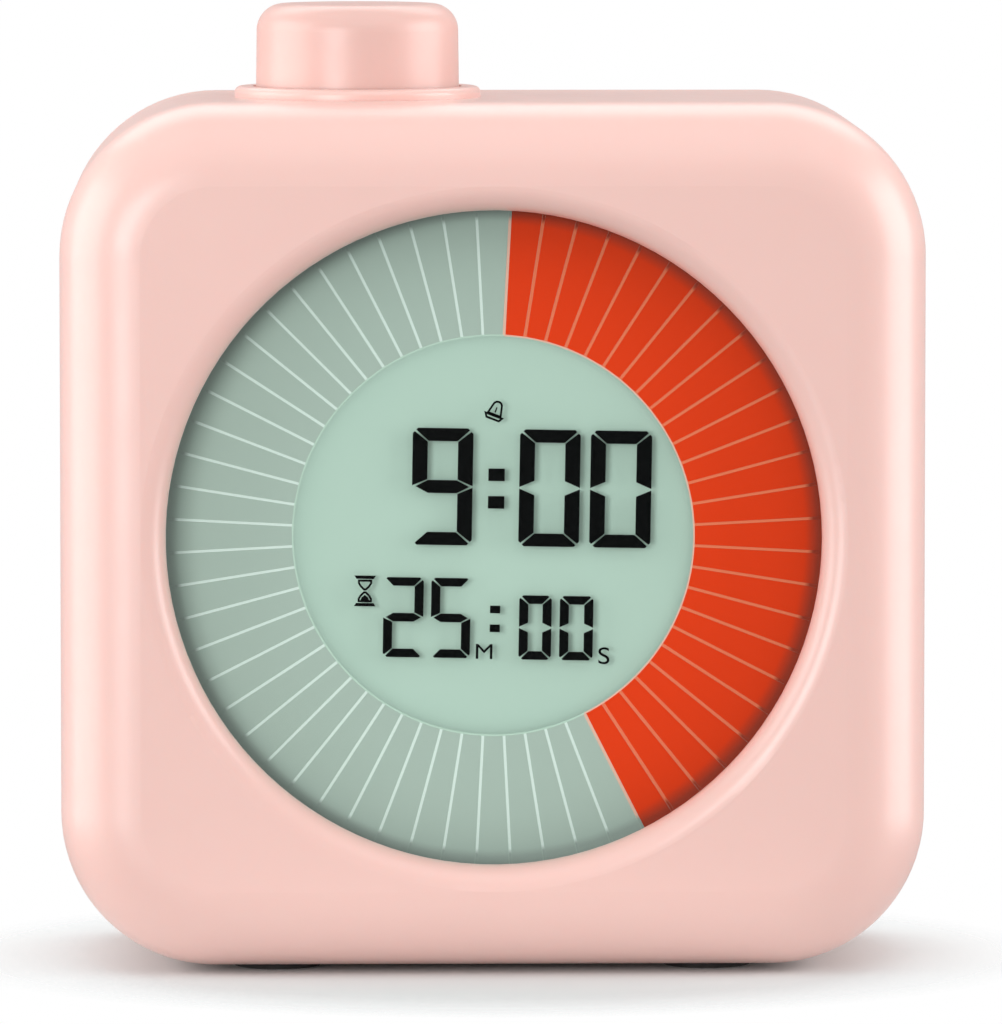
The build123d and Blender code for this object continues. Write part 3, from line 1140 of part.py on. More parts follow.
# Leads from the encoder's pins to the back of the main board
with BuildPart() as encoder_leads:
    for pin in range(PIN_COUNT):
        pin_x = KNOB_X + (pin - (PIN_COUNT - 1) / 2) * PIN_PITCH
        with BuildLine():
            route = FilletPolyline(
                (pin_x, KNOB_Y, PIN_Z),
                (pin_x, KNOB_Y, PIN_Z - ENCODER_LEAD_DROP),
                (pin_x, BOARD_BACK_Y, PIN_Z - ENCODER_LEAD_DROP),
                radius=LEAD_BEND,
            )
        with BuildSketch(Plane(route @ 0, z_dir=route % 0)):
            Circle(LEAD_RADIUS)
        sweep()
finish(encoder_leads.part, "encoder_leads")
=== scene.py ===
# %% [markdown]
# A countdown timer with a round display, dressed for its portrait
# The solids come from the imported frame: a pink case in two halves, a knob on the top, a display stack
# behind a round window and all the small parts inside. This lesson sets up the studio, gives every solid
# a finish made from nodes, and models what is too fine for the solids: the read-out, the minute lines and
# the screw heads.

# %% Load the frame
import math

import bmesh
import bpy
from mathutils import Matrix, Vector


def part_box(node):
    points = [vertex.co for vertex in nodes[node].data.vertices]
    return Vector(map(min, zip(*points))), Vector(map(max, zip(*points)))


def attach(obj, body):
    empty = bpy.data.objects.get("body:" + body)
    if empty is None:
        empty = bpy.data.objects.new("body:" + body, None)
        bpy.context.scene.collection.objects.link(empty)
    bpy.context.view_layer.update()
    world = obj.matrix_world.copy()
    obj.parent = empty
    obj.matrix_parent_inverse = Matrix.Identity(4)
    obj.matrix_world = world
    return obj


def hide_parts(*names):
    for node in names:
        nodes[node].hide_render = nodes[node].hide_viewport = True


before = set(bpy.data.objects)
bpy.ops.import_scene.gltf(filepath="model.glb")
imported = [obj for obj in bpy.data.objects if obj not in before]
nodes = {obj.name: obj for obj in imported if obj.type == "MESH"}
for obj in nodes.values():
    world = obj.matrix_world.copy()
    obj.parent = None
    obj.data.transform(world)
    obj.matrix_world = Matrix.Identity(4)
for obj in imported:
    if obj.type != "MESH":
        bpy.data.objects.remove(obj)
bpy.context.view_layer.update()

MM = 0.001

# %% [markdown]
# The display is the landmark of this object, so most places are measured from it. The lens gives its
# middle, and the minute ring gives the depth of the layer where the dark segments of the read-out lie.

# %% Landmarks
lens_low, lens_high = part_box("window_lens")
display_middle = (lens_low + lens_high) / 2
display_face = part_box("minutes_gone")[0].y
dial_middle = Vector((display_middle.x, 0.0, display_middle.z))
front_middle = Vector((display_middle.x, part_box("front_shell")[0].y, display_middle.z))
print("display middle in mm:", [round(v / MM, 2) for v in display_middle])
print("segment layer in mm:", round(display_face / MM, 2))

# %% [markdown]
# The photograph was taken with a long lens, a little above the case and a little to its left. A camera
# could be turned by hand until the picture fits. Here its distance, two angles and the point it looks at
# are named values, and a track quaternion aims it, so that each can be corrected alone.

# %% Camera
CAMERA_DISTANCE = 0.909
CAMERA_AZIMUTH = math.radians(-1.2)
CAMERA_ELEVATION = math.radians(4.71)
CAMERA_LENS = 348.2
CAMERA_NEAR = 0.01
AIM_OFFSET = Vector((0.58, 0.0, 2.61)) * MM

sight = Vector((
    math.sin(CAMERA_AZIMUTH) * math.cos(CAMERA_ELEVATION),
    -math.cos(CAMERA_AZIMUTH) * math.cos(CAMERA_ELEVATION),
    math.sin(CAMERA_ELEVATION),
))
camera = bpy.data.objects.new("portrait_camera", bpy.data.cameras.new("portrait_camera"))
camera.data.lens = CAMERA_LENS
camera.data.clip_start = CAMERA_NEAR
camera.location = front_middle + sight * CAMERA_DISTANCE
camera.rotation_mode = "QUATERNION"
camera.rotation_quaternion = (front_middle + AIM_OFFSET - camera.location).to_track_quat("-Z", "Y")
bpy.context.scene.collection.objects.link(camera)
bpy.context.scene.camera = camera
print("camera at", [round(v, 3) for v in camera.location])

# %% [markdown]
# Every finish below is a Principled shader fed by noise in Object coordinates, so a pattern stays on its
# piece when the piece moves. Three small helpers cover most of it: a cloudy colour, a fine grain in the
# surface, and a gloss that isn't quite even. Sizes of patterns are given in metres, like the pieces.

# %% Helpers for finishes
NOISE_DETAIL = 3.0
NOISE_SPAN = (0.3, 0.7)


def screen_colour(red, green, blue):
    """Linear colour of a swatch given in screen values from 0 to 255."""
    values = [value / 255 for value in (red, green, blue)]
    return (*[((value + 0.055) / 1.055) ** 2.4 for value in values], 1.0)


def new_finish(name, colour, roughness, **sockets):
    """A material with its shader; sockets that are the same all over are set directly."""
    material = bpy.data.materials.new(name)
    material.use_nodes = True
    shader = material.node_tree.nodes["Principled BSDF"]
    shader.inputs["Base Color"].default_value = colour
    shader.inputs["Roughness"].default_value = roughness
    for socket, value in sockets.items():
        shader.inputs[socket.replace("_", " ")].default_value = value
    return material


def add_node(material, kind, **values):
    """A new node with its input sockets set by name."""
    node = material.node_tree.nodes.new(kind)
    for socket, value in values.items():
        node.inputs[socket.replace("_", " ")].default_value = value
    return node


def join(material, value, target):
    """Link a socket to an input, or set the input where the value is a plain number or colour."""
    if isinstance(value, bpy.types.NodeSocket):
        material.node_tree.links.new(value, target)
    else:
        target.default_value = value


def shader_input(material, socket):
    """Input socket of the material's Principled shader."""
    return material.node_tree.nodes["Principled BSDF"].inputs[socket]


def own_place(material):
    """Place of a point in the coordinates of its own piece, in metres."""
    return add_node(material, "ShaderNodeTexCoord").outputs["Object"]


def distance(material, shift, stretch):
    """Distance of a point from zero once its place is stretched along the axes and shifted."""
    mapping = add_node(material, "ShaderNodeMapping", Location=shift, Scale=stretch)
    length = material.node_tree.nodes.new("ShaderNodeVectorMath")
    length.operation = "LENGTH"
    join(material, own_place(material), mapping.inputs["Vector"])
    join(material, mapping.outputs["Vector"], length.inputs[0])
    return length.outputs["Value"]


def noise(material, size):
    """Noise whose features have about the given size in metres."""
    texture = add_node(material, "ShaderNodeTexNoise", Scale=1 / size, Detail=NOISE_DETAIL)
    join(material, own_place(material), texture.inputs["Vector"])
    return texture.outputs["Fac"]


def blend_colours(material, factor, first, second):
    """Colour that runs from the first to the second as the factor goes from 0 to 1."""
    mix = material.node_tree.nodes.new("ShaderNodeMix")
    mix.data_type = "RGBA"
    join(material, first, mix.inputs["A"])
    join(material, second, mix.inputs["B"])
    join(material, factor, mix.inputs["Factor"])
    return mix.outputs["Result"]


def remap(material, value, from_low, from_high, to_low, to_high):
    """Value stretched from one range to another and held at its ends."""
    node = add_node(
        material, "ShaderNodeMapRange", From_Min=from_low, From_Max=from_high, To_Min=to_low, To_Max=to_high
    )
    join(material, value, node.inputs["Value"])
    return node.outputs["Result"]


def tinted(colour, share):
    """The colour made lighter or darker by a share of itself."""
    return (*[min(1.0, channel * (1 + share)) for channel in colour[:3]], 1.0)


def cloud(material, colour, share, size):
    """Colour that wanders by a small share either way, in clouds of the given size."""
    wandering = blend_colours(material, noise(material, size), tinted(colour, -share), tinted(colour, share))
    join(material, wandering, shader_input(material, "Base Color"))


def grain(material, size, depth):
    """Fine relief in the surface."""
    bump = add_node(material, "ShaderNodeBump", Strength=1.0, Distance=depth)
    join(material, noise(material, size), bump.inputs["Height"])
    join(material, bump.outputs["Normal"], shader_input(material, "Normal"))


def uneven_gloss(material, low, high, size):
    """Roughness that wanders between two values, over the span that most of the noise keeps to."""
    wandering = remap(material, noise(material, size), *NOISE_SPAN, low, high)
    join(material, wandering, shader_input(material, "Roughness"))


def dress(material, *names):
    """Give the finish to CAD nodes."""
    for name in names:
        nodes[name].data.materials.clear()
        nodes[name].data.materials.append(material)


print("helpers for finishes ready")

# %% [markdown]
# The studio is a white room, and the timer stands on a sheet of pale grey paper that catches its shadow. A
# large floor would show a horizon, so the paper fades out round the case: its alpha falls from one to
# nothing between two distances from the middle, a little sooner in front and behind than at the sides. So
# the solid grey round the base is also a painted shadow pool, and the cool tint of the grey paints out the
# pink light that the case throws on it.

# %% Floor
# Painted shade: the grey darkens the paper round the case, and its cool tint cancels the pink bounce light
FLOOR_PAINTED_SHADE_GREY = screen_colour(221, 228, 229)
FLOOR_SIZE = 0.4
FLOOR_SOLID = 0.037
FLOOR_GONE = 0.053
FLOOR_REACH = (1.0, 1.12, 1.0)
PAPER_ROUGHNESS = 0.9

sheet = bmesh.new()
bmesh.ops.create_grid(sheet, x_segments=1, y_segments=1, size=FLOOR_SIZE / 2)
floor = bpy.data.objects.new("studio_floor", bpy.data.meshes.new("studio_floor"))
sheet.to_mesh(floor.data)
sheet.free()
bpy.context.scene.collection.objects.link(floor)
paper = new_finish("floor_paper", FLOOR_PAINTED_SHADE_GREY, PAPER_ROUGHNESS)
cloud(paper, FLOOR_PAINTED_SHADE_GREY, 0.004, 20 * MM)
# Painted shadow pool: the paper is solid grey near the case and fades to the white sky further away
painted_pool_reach = distance(paper, (0.0, 0.0, 0.0), FLOOR_REACH)
join(paper, remap(paper, painted_pool_reach, FLOOR_SOLID, FLOOR_GONE, 1.0, 0.0), shader_input(paper, "Alpha"))
floor.data.materials.append(paper)
print("floor fades out from", FLOOR_SOLID, "to", FLOOR_GONE, "m")

# %% [markdown]
# The sky is an even white. The camera sees it as a lit paper background, but at that strength it would
# drown the lamps. A Light Path node tells the rays apart, so that it lights the object more gently than
# it looks.

# %% Sky
SKY_LIGHT = 0.41
SKY_SHOWN = 1.0
WHITE = (1.0, 1.0, 1.0, 1.0)

world = bpy.data.worlds.new("white_room")
world.use_nodes = True
bpy.context.scene.world = world
sky = world.node_tree.nodes["Background"]
sky.inputs["Color"].default_value = WHITE
ray = world.node_tree.nodes.new("ShaderNodeLightPath")
strength = world.node_tree.nodes.new("ShaderNodeMapRange")
strength.inputs["To Min"].default_value = SKY_LIGHT
strength.inputs["To Max"].default_value = SKY_SHOWN
world.node_tree.links.new(ray.outputs["Is Camera Ray"], strength.inputs["Value"])
world.node_tree.links.new(strength.outputs["Result"], sky.inputs["Strength"])
bpy.context.scene.view_settings.view_transform = "Standard"
print("sky lights with", SKY_LIGHT, "and shows as", SKY_SHOWN)

# %% [markdown]
# Six soft boxes shape the light. One on each side lights the rolled edges of the case, one above and one
# behind draw the bright line along its top, one to the left of the camera gives the read-out its short
# shadows, and a low one at the rear lights the back. Point lamps would be simpler, but their shadows and
# highlights are hard. The low one is hidden from glossy rays, because the flat top of the case would
# mirror it towards the camera.

# %% Soft boxes
# Place in metres, width and height in metres, power in watts
SOFT_BOXES = {
    "left_box": ((-0.7, -0.04, 0.18), 0.7, 0.6, 3.5),
    "right_box": ((0.7, -0.08, 0.18), 0.6, 0.6, 4.3),
    "top_box": ((0.0, -0.34, 0.7), 0.9, 0.8, 1.65),
    "back_box": ((0.0, 0.36, 0.54), 0.9, 0.35, 1.8),
    "front_box": ((-0.42, -0.86, 0.15), 0.4, 0.4, 3.5),
    "rear_box": ((-0.34, 0.86, 0.3), 0.5, 0.5, 2.0),
}
case_middle = Vector((0.0, 0.0, display_middle.z))


def soft_box(name, place, width, height, power):
    """A rectangular lamp, turned to the middle of the case."""
    lamp = bpy.data.lights.new(name, "AREA")
    lamp.shape = "RECTANGLE"
    lamp.size = width
    lamp.size_y = height
    lamp.energy = power
    box = bpy.data.objects.new(name, lamp)
    box.location = place
    box.rotation_mode = "QUATERNION"
    box.rotation_quaternion = (case_middle - Vector(place)).to_track_quat("-Z", "Y")
    bpy.context.scene.collection.objects.link(box)
    return box


boxes = {name: soft_box(name, *setting) for name, setting in SOFT_BOXES.items()}
boxes["rear_box"].visible_glossy = False
print("soft boxes:", len(boxes))

# %% [markdown]
# The case and the battery door are moulded in one pink plastic, and the knob and the two buttons in
# slightly deeper shades of it. On the real thing the mould is lightly spark-eroded, which gives a satin
# surface: sharp highlights spread out, and a very fine grain shows up close. A smooth shader would look
# like wet paint, so the grain is a small bump and the gloss wanders a little. A thin coat mirrors the
# white room at flat angles, which greys the top of the case as in the photograph, and the knob has less
# of it.

# %% Pink plastic
PINK = screen_colour(239, 197, 188)
PINK_KNOB = screen_colour(228, 186, 177)
PINK_KEYS = screen_colour(226, 170, 161)
SATIN_ROUGHNESS = 0.34
SATIN_GLOSS = (0.31, 0.38)
PLASTIC_IOR = 1.52
SHEEN_COAT = 0.5
KNOB_COAT = 0.15
SHEEN_SPREAD = 0.32
GLOW_WEIGHT = 0.15
GLOW_RADIUS = (1.0, 0.4, 0.3)
GLOW_DEPTH = 2 * MM


def satin_plastic(name, colour, coat=SHEEN_COAT):
    """Moulded plastic with a fine satin grain; light creeps a little way under its surface."""
    material = new_finish(
        name, colour, SATIN_ROUGHNESS, IOR=PLASTIC_IOR, Coat_Weight=coat, Coat_Roughness=SHEEN_SPREAD,
        Subsurface_Weight=GLOW_WEIGHT, Subsurface_Radius=GLOW_RADIUS, Subsurface_Scale=GLOW_DEPTH,
    )
    cloud(material, colour, 0.012, 18 * MM)
    grain(material, 0.22 * MM, 0.003 * MM)
    uneven_gloss(material, *SATIN_GLOSS, 3 * MM)
    return material


case_plastic = satin_plastic("pink_case_plastic", PINK)
knob_plastic = satin_plastic("pink_knob_plastic", PINK_KNOB, KNOB_COAT)
key_plastic = satin_plastic("deep_pink_key_plastic", PINK_KEYS)
dress(case_plastic, "front_shell", "rear_cover", "battery_door")
dress(knob_plastic, "knob_cap")
dress(key_plastic, "mode_button", "set_button")
print("pink finishes:", case_plastic.name, knob_plastic.name, key_plastic.name)

# %% [markdown]
# The display shows by daylight: a pale green reflector lies behind the glass, and the ring of minutes
# lies in front of it, red for the minutes that are left and grey-green for those gone. The case throws a
# soft shade on the rim of the display. Light does part of that, and the rest is painted shade: each of
# these finishes turns to a darker rim colour towards its edge.

# %% Display colours
REFLECTOR_GREEN = screen_colour(211, 245, 227)
REFLECTOR_ROUGHNESS = 0.6
GREY_MINUTES = screen_colour(184, 207, 194)
# Painted shade: darker rim colours, and the spans over which the ring turns to them
GREY_RIM_PAINTED_SHADE = screen_colour(166, 184, 174)
GREY_PAINTED_SHADE_SPAN = (29.15 * MM, 29.9 * MM)
RED_MINUTES = screen_colour(249, 69, 22)
RED_RIM_PAINTED_SHADE = screen_colour(174, 68, 48)
RED_PAINTED_SHADE_SPAN = (28.8 * MM, 30.1 * MM)
DISPLAY_ROUGHNESS = 0.5
DISPLAY_GLOSS = (0.45, 0.55)
DISPLAY_SHINE = 0.1


def display_finish(name, colour, painted_shade_colour=None, painted_shade_span=None):
    """Flat display colour, which may turn into a darker painted shade between two distances from the middle.
    """
    material = new_finish(name, colour, DISPLAY_ROUGHNESS, Specular_IOR_Level=DISPLAY_SHINE)
    if painted_shade_colour:
        # painted shade: the colour darkens towards the rim of the display
        from_middle = distance(material, (-display_middle.x, 0.0, -display_middle.z), (1.0, 0.0, 1.0))
        shade = remap(material, from_middle, *painted_shade_span, 0.0, 1.0)
        shaded = blend_colours(material, shade, colour, painted_shade_colour)
        join(material, shaded, shader_input(material, "Base Color"))
    grain(material, 0.12 * MM, 0.0015 * MM)
    uneven_gloss(material, *DISPLAY_GLOSS, 2 * MM)
    return material


reflector_finish = new_finish(
    "reflector_green", REFLECTOR_GREEN, REFLECTOR_ROUGHNESS, Specular_IOR_Level=DISPLAY_SHINE
)
cloud(reflector_finish, REFLECTOR_GREEN, 0.02, 14 * MM)
grain(reflector_finish, 0.1 * MM, 0.002 * MM)
grey_segments = display_finish("grey_minutes", GREY_MINUTES, GREY_RIM_PAINTED_SHADE, GREY_PAINTED_SHADE_SPAN)
red_segments = display_finish("red_minutes", RED_MINUTES, RED_RIM_PAINTED_SHADE, RED_PAINTED_SHADE_SPAN)
dress(reflector_finish, "reflector_film")
dress(grey_segments, "minutes_gone")
dress(red_segments, "minutes_left")
print("display finishes:", reflector_finish.name, grey_segments.name, red_segments.name)

# %% [markdown]
# The lens and the display cell behind it are clear. A transmission shader would bend the light of the
# lamps into noise, so they are thin gloss over nothing: a low alpha lets lamps and camera through and
# leaves a faint sheen.

# %% Clear finishes
BLACK = (0.0, 0.0, 0.0, 1.0)
LENS_ALPHA = 0.04
LENS_IOR = 1.49
LENS_GLOSS = (0.04, 0.09)
CELL_ALPHA = 0.02
CELL_GLOSS = (0.06, 0.12)

clear_lens = new_finish("clear_lens", BLACK, 0.06, Alpha=LENS_ALPHA, IOR=LENS_IOR)
uneven_gloss(clear_lens, *LENS_GLOSS, 4 * MM)
cell_glass = new_finish("cell_glass", BLACK, 0.08, Alpha=CELL_ALPHA)
uneven_gloss(cell_glass, *CELL_GLOSS, 5 * MM)
dress(clear_lens, "window_lens")
print("clear finishes:", clear_lens.name, cell_glass.name)

# %% [markdown]
# Every added piece starts as a bmesh in its own place on the timer. It could be modelled anywhere and its
# object moved, but then a pattern in Object coordinates would slide when the piece is exported, so the
# place stays in the mesh. A finished piece gets its finish and is tied to the body it moves with.


# %% Helpers for pieces
def new_piece(name, shape, material, body):
    """Turn a bmesh into a piece with its finish that rides on a body."""
    mesh = bpy.data.meshes.new(name)
    shape.to_mesh(mesh)
    shape.free()
    mesh.materials.append(material)
    piece = bpy.data.objects.new(name, mesh)
    bpy.context.scene.collection.objects.link(piece)
    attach(piece, body)
    return piece


def block(low, high):
    """A bmesh box between two corners."""
    shape = bmesh.new()
    bmesh.ops.create_cube(shape, size=1.0)
    bmesh.ops.scale(shape, vec=high - low, verts=shape.verts)
    bmesh.ops.translate(shape, vec=(low + high) / 2, verts=shape.verts)
    return shape


def move_deeper(shape, extruded, depth):
    """Move the corners of what an extrude made towards the back of the timer."""
    corners = [item for item in extruded if isinstance(item, bmesh.types.BMVert)]
    bmesh.ops.translate(shape, vec=(0.0, depth, 0.0), verts=corners)


print("helpers for pieces ready")

# %% [markdown]
# The polariser and the two glasses of the display lie so close together that they look like one clear
# pane. So one pane stands for all three: a box whose four corners are cut by a bevel of one segment.
# Three panes would only add faces between which light gets lost.

# %% Display cell
PANE_CORNER = 18.0 * MM
PANE_AIR = 0.05 * MM
ALONG_Y = 0.9

glass_low, glass_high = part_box("rear_glass")
pane_low = Vector((glass_low.x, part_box("front_polariser")[0].y + PANE_AIR, glass_low.z))
pane_high = Vector((glass_high.x, glass_high.y - PANE_AIR, glass_high.z))
pane = block(pane_low, pane_high)
cut_edges = [
    edge for edge in pane.edges if abs((edge.verts[0].co - edge.verts[1].co).normalized().y) > ALONG_Y
]
bmesh.ops.bevel(
    pane, geom=cut_edges, offset=PANE_CORNER, affect="EDGES", segments=1, profile=0.5, material=-1
)
display_cell = new_piece("display_cell", pane, cell_glass, "housing")
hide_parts("front_polariser", "front_glass", "rear_glass")
print("clear pane in mm:", [round(v / MM, 2) for v in pane_high - pane_low])

# %% [markdown]
# Sixty hair lines part the minutes. They could be painted by the ring's shader, but as thin strips in the
# gaps of the ring they are crisp at any distance. One strip is made at twelve o'clock and spun into a fan
# of copies.

# %% Minute lines
MINUTES = 60
MINUTES_LEFT = 25
MINUTE_ANGLE = 2 * math.pi / MINUTES
LINE_WIDTH = 0.25 * MM
LINE_INNER = 18.6 * MM
LINE_OUTER = 30.6 * MM
# Painted shade: near the rim the lines turn to the ring's darker rim colour
LINE_PAINTED_SHADE_SPAN = (29.1 * MM, 29.6 * MM)
LINE_DEPTH = 0.18 * MM
LINE_SINK = 0.01 * MM
GREEN_LINE = screen_colour(234, 255, 245)
SALMON_LINE = screen_colour(255, 138, 98)
PEACH_LINE = screen_colour(250, 205, 182)


def minute_lines(name, first, count, step, colour, painted_shade_colour):
    """A fan of strips. The first place and the step are in half minutes, clockwise from twelve o'clock."""
    low = dial_middle + Vector((-LINE_WIDTH / 2, display_face + LINE_SINK, LINE_INNER))
    high = dial_middle + Vector((LINE_WIDTH / 2, display_face + LINE_SINK + LINE_DEPTH, LINE_OUTER))
    fan = block(low, high)
    start = Matrix.Rotation(first * MINUTE_ANGLE / 2, 3, "Y")
    bmesh.ops.rotate(fan, cent=dial_middle, matrix=start, verts=fan.verts)
    bmesh.ops.spin(
        fan, geom=fan.verts[:] + fan.edges[:] + fan.faces[:], cent=dial_middle, axis=(0.0, 1.0, 0.0),
        angle=(count - 1) * step * MINUTE_ANGLE / 2, steps=count - 1, use_duplicate=True, use_merge=False,
    )
    bmesh.ops.recalc_face_normals(fan, faces=fan.faces)
    return new_piece(name, fan, display_finish(name, colour, painted_shade_colour, LINE_PAINTED_SHADE_SPAN), "housing")


green_lines = minute_lines(
    "minute_lines_gone", 2 * MINUTES_LEFT + 3, MINUTES - MINUTES_LEFT - 1, 2, GREEN_LINE, GREY_RIM_PAINTED_SHADE
)
salmon_lines = minute_lines("minute_lines_left", 3, MINUTES_LEFT - 1, 2, SALMON_LINE, RED_RIM_PAINTED_SHADE)
border_lines = minute_lines("minute_borders", 1, 2, 2 * MINUTES_LEFT, PEACH_LINE, GREY_RIM_PAINTED_SHADE)
print("lines:", green_lines.name, salmon_lines.name, border_lines.name)

# %% [markdown]
# A thin pale line also runs along the inside of the ring beside the red minutes, in peach. Beside the
# others a green strip in the colour of the reflector is painted light, laid over the line of shade at the
# inner edge of the ring. A strip could be bent along the arc, but a small square swept round the middle of
# the display by spin is the arc itself.

# %% Inner edge of the ring
EDGE_WIDTH = 0.14 * MM
EDGE_STEPS_PER_MINUTE = 3
# Painted light: a strip in the green of the reflector over the line of shade at the ring's inner edge
GREEN_EDGE_PAINTED_LIGHT = screen_colour(203, 234, 216)


def ring_edge(name, first, count, colour):
    """Arc inside the ring over a number of minutes; the first is counted clockwise from twelve o'clock."""
    depths = (display_face + LINE_SINK, display_face + LINE_DEPTH)
    reaches = (LINE_INNER - EDGE_WIDTH, LINE_INNER)
    arc = bmesh.new()
    arc.faces.new([
        arc.verts.new(dial_middle + Vector((0.0, depths[deep], reaches[far])))
        for deep, far in ((0, 0), (0, 1), (1, 1), (1, 0))
    ])
    start = Matrix.Rotation((first + 0.5) * MINUTE_ANGLE, 3, "Y")
    bmesh.ops.rotate(arc, cent=dial_middle, matrix=start, verts=arc.verts)
    bmesh.ops.spin(
        arc, geom=arc.verts[:] + arc.edges[:] + arc.faces[:], cent=dial_middle, axis=(0.0, 1.0, 0.0),
        angle=count * MINUTE_ANGLE, steps=count * EDGE_STEPS_PER_MINUTE, use_duplicate=False,
    )
    bmesh.ops.recalc_face_normals(arc, faces=arc.faces)
    return new_piece(name, arc, display_finish(name, colour), "housing")


red_edge = ring_edge("minutes_left_edge", 0, MINUTES_LEFT, PEACH_LINE)
painted_light_edge = ring_edge("minutes_gone_painted_light_edge", MINUTES_LEFT, MINUTES - MINUTES_LEFT, GREEN_EDGE_PAINTED_LIGHT)
print("arcs:", red_edge.name, painted_light_edge.name)

# %% [markdown]
# In the photograph the digits drop a shadow on the reflector and the ring drops none. The plates of the
# ring stand a little way in front of the reflector here, and a lamp would draw a dark line beside them. A
# second reflector in their plane would hide the digits' shadows too, so the ring is hidden from shadow
# rays instead.

# %% No shadow from the ring
ring_plates = [nodes["minutes_gone"], nodes["minutes_left"]]
ring_trim = [green_lines, salmon_lines, border_lines, red_edge, painted_light_edge]
for ring_piece in ring_plates + ring_trim:
    ring_piece.visible_shadow = False
print("without shadow:", len(ring_plates + ring_trim))

# %% [markdown]
# The read-out is made of dark segments. A digit is seven bars with mitred ends, and its outline is worked
# out from its width, height and stroke. Each bar is a face pushed back a little, so that it floats in
# front of the reflector and drops a soft shadow on it, as the real segments do.

# %% Segments
SEGMENT_DEPTH = 0.06 * MM
READOUT_TURN = math.radians(1.0)
DIGIT_BARS = {"0": "abcdef", "2": "abdeg", "5": "acdfg", "9": "abcdfg"}


def bar_outlines(width, height, post, bar, gap, corner):
    """Outlines of the seven bars of a digit round its middle; the outer corners are cut."""
    x, z = width / 2, height / 2
    mitre = corner / 2
    half_top = [(x - corner, z), (x - mitre - gap, z - mitre + gap), (x - post - gap, z - bar)]
    top = half_top + [(-px, pz) for px, pz in reversed(half_top)]
    upper = [
        (x - mitre + gap, z - mitre - gap), (x, z - corner), (x, gap),
        (x - post, bar / 2 + gap), (x - post, z - bar - gap),
    ]
    half_middle = [(x - post - gap, bar / 2), (x - mitre - gap, 0), (x - post - gap, -bar / 2)]
    return {
        "a": top,
        "b": upper,
        "c": [(px, -pz) for px, pz in upper],
        "d": [(px, -pz) for px, pz in top],
        "e": [(-px, -pz) for px, pz in upper],
        "f": [(-px, pz) for px, pz in upper],
        "g": half_middle + [(-px, pz) for px, pz in reversed(half_middle)],
    }


def flat_face(shape, points, place):
    """A face in the plane of the segments; its points are in millimetres from a place on the display."""
    return shape.faces.new([
        shape.verts.new(Vector((
            display_middle.x + (place[0] + px) * MM, display_face, display_middle.z + (place[1] + pz) * MM
        )))
        for px, pz in points
    ])


def push_back(shape, faces):
    """Give flat faces the depth of a display segment."""
    move_deeper(shape, bmesh.ops.extrude_face_region(shape, geom=faces)["geom"], SEGMENT_DEPTH)


def add_outline(shape, points, place):
    """A solid segment from its outline."""
    push_back(shape, [flat_face(shape, points, place)])


def add_digit(shape, digit, left, right, top, bottom, **strokes):
    """The bars of one digit inside its box."""
    outlines = bar_outlines(right - left, top - bottom, **strokes)
    for bar_name in DIGIT_BARS[digit]:
        add_outline(shape, outlines[bar_name], ((left + right) / 2, (top + bottom) / 2))


def add_box(shape, left, right, top, bottom):
    """A rectangular segment."""
    add_outline(shape, [(left, bottom), (right, bottom), (right, top), (left, top)], (0.0, 0.0))


def turn_readout(shape):
    """The display sits a touch clockwise in its case."""
    turn = Matrix.Rotation(READOUT_TURN, 3, "Y")
    bmesh.ops.rotate(shape, cent=display_middle, matrix=turn, verts=shape.verts)
    bmesh.ops.recalc_face_normals(shape, faces=shape.faces)


print("digits that can be shown:", ", ".join(DIGIT_BARS))

# %% [markdown]
# The clock stands in large digits in the upper half of the display, and the countdown in smaller ones
# below it, with the minutes a little taller than the seconds. Each row is one piece in the same matt ink.
# A font could give the digits, but these boxes were measured in the photograph, so that every digit has
# its own width.

# %% Clock and countdown
INK = screen_colour(5, 8, 8)
INK_ROUGHNESS = 0.45
INK_SHINE = 0.05
segment_ink = new_finish("segment_ink", INK, INK_ROUGHNESS, Specular_IOR_Level=INK_SHINE)
cloud(segment_ink, INK, 0.15, 5 * MM)
grain(segment_ink, 0.1 * MM, 0.001 * MM)

# Left, right, top and bottom of digits and dots, in millimetres from the middle of the display
CLOCK_ROW = (9.87, -0.95)
CLOCK_STROKES = dict(post=1.4, bar=1.2, gap=0.07, corner=0.5)
CLOCK_DIGITS = (
    ("9", -7.6, -2.0, *CLOCK_ROW),
    ("0", 2.3, 7.9, *CLOCK_ROW),
    ("0", 8.85, 14.5, *CLOCK_ROW),
)
CLOCK_DOTS = ((-0.56, 0.95, 6.2, 5.05), (-0.56, 0.95, 3.65, 2.5))

MINUTE_ROW = (-4.0, -11.4)
SECOND_ROW = (-5.5, -11.45)
COUNTDOWN_STROKES = dict(post=0.84, bar=0.78, gap=0.06, corner=0.36)
COUNTDOWN_DIGITS = (
    ("2", -10.05, -6.35, *MINUTE_ROW),
    ("5", -5.65, -2.0, *MINUTE_ROW),
    ("0", 2.5, 5.5, *SECOND_ROW),
    ("0", 6.25, 9.35, *SECOND_ROW),
)
COUNTDOWN_DOTS = ((-0.2, 0.74, -6.5, -7.2), (-0.2, 0.74, -8.25, -8.95))


def digit_row(name, digits, dots, strokes):
    """A row of digits and its colon as one piece."""
    row = bmesh.new()
    for digit, *box in digits:
        add_digit(row, digit, *box, **strokes)
    for dot in dots:
        add_box(row, *dot)
    turn_readout(row)
    return new_piece(name, row, segment_ink, "housing")


clock_digits = digit_row("clock_digits", CLOCK_DIGITS, CLOCK_DOTS, CLOCK_STROKES)
countdown_digits = digit_row("countdown_digits", COUNTDOWN_DIGITS, COUNTDOWN_DOTS, COUNTDOWN_STROKES)
print("digits:", clock_digits.name, countdown_digits.name)

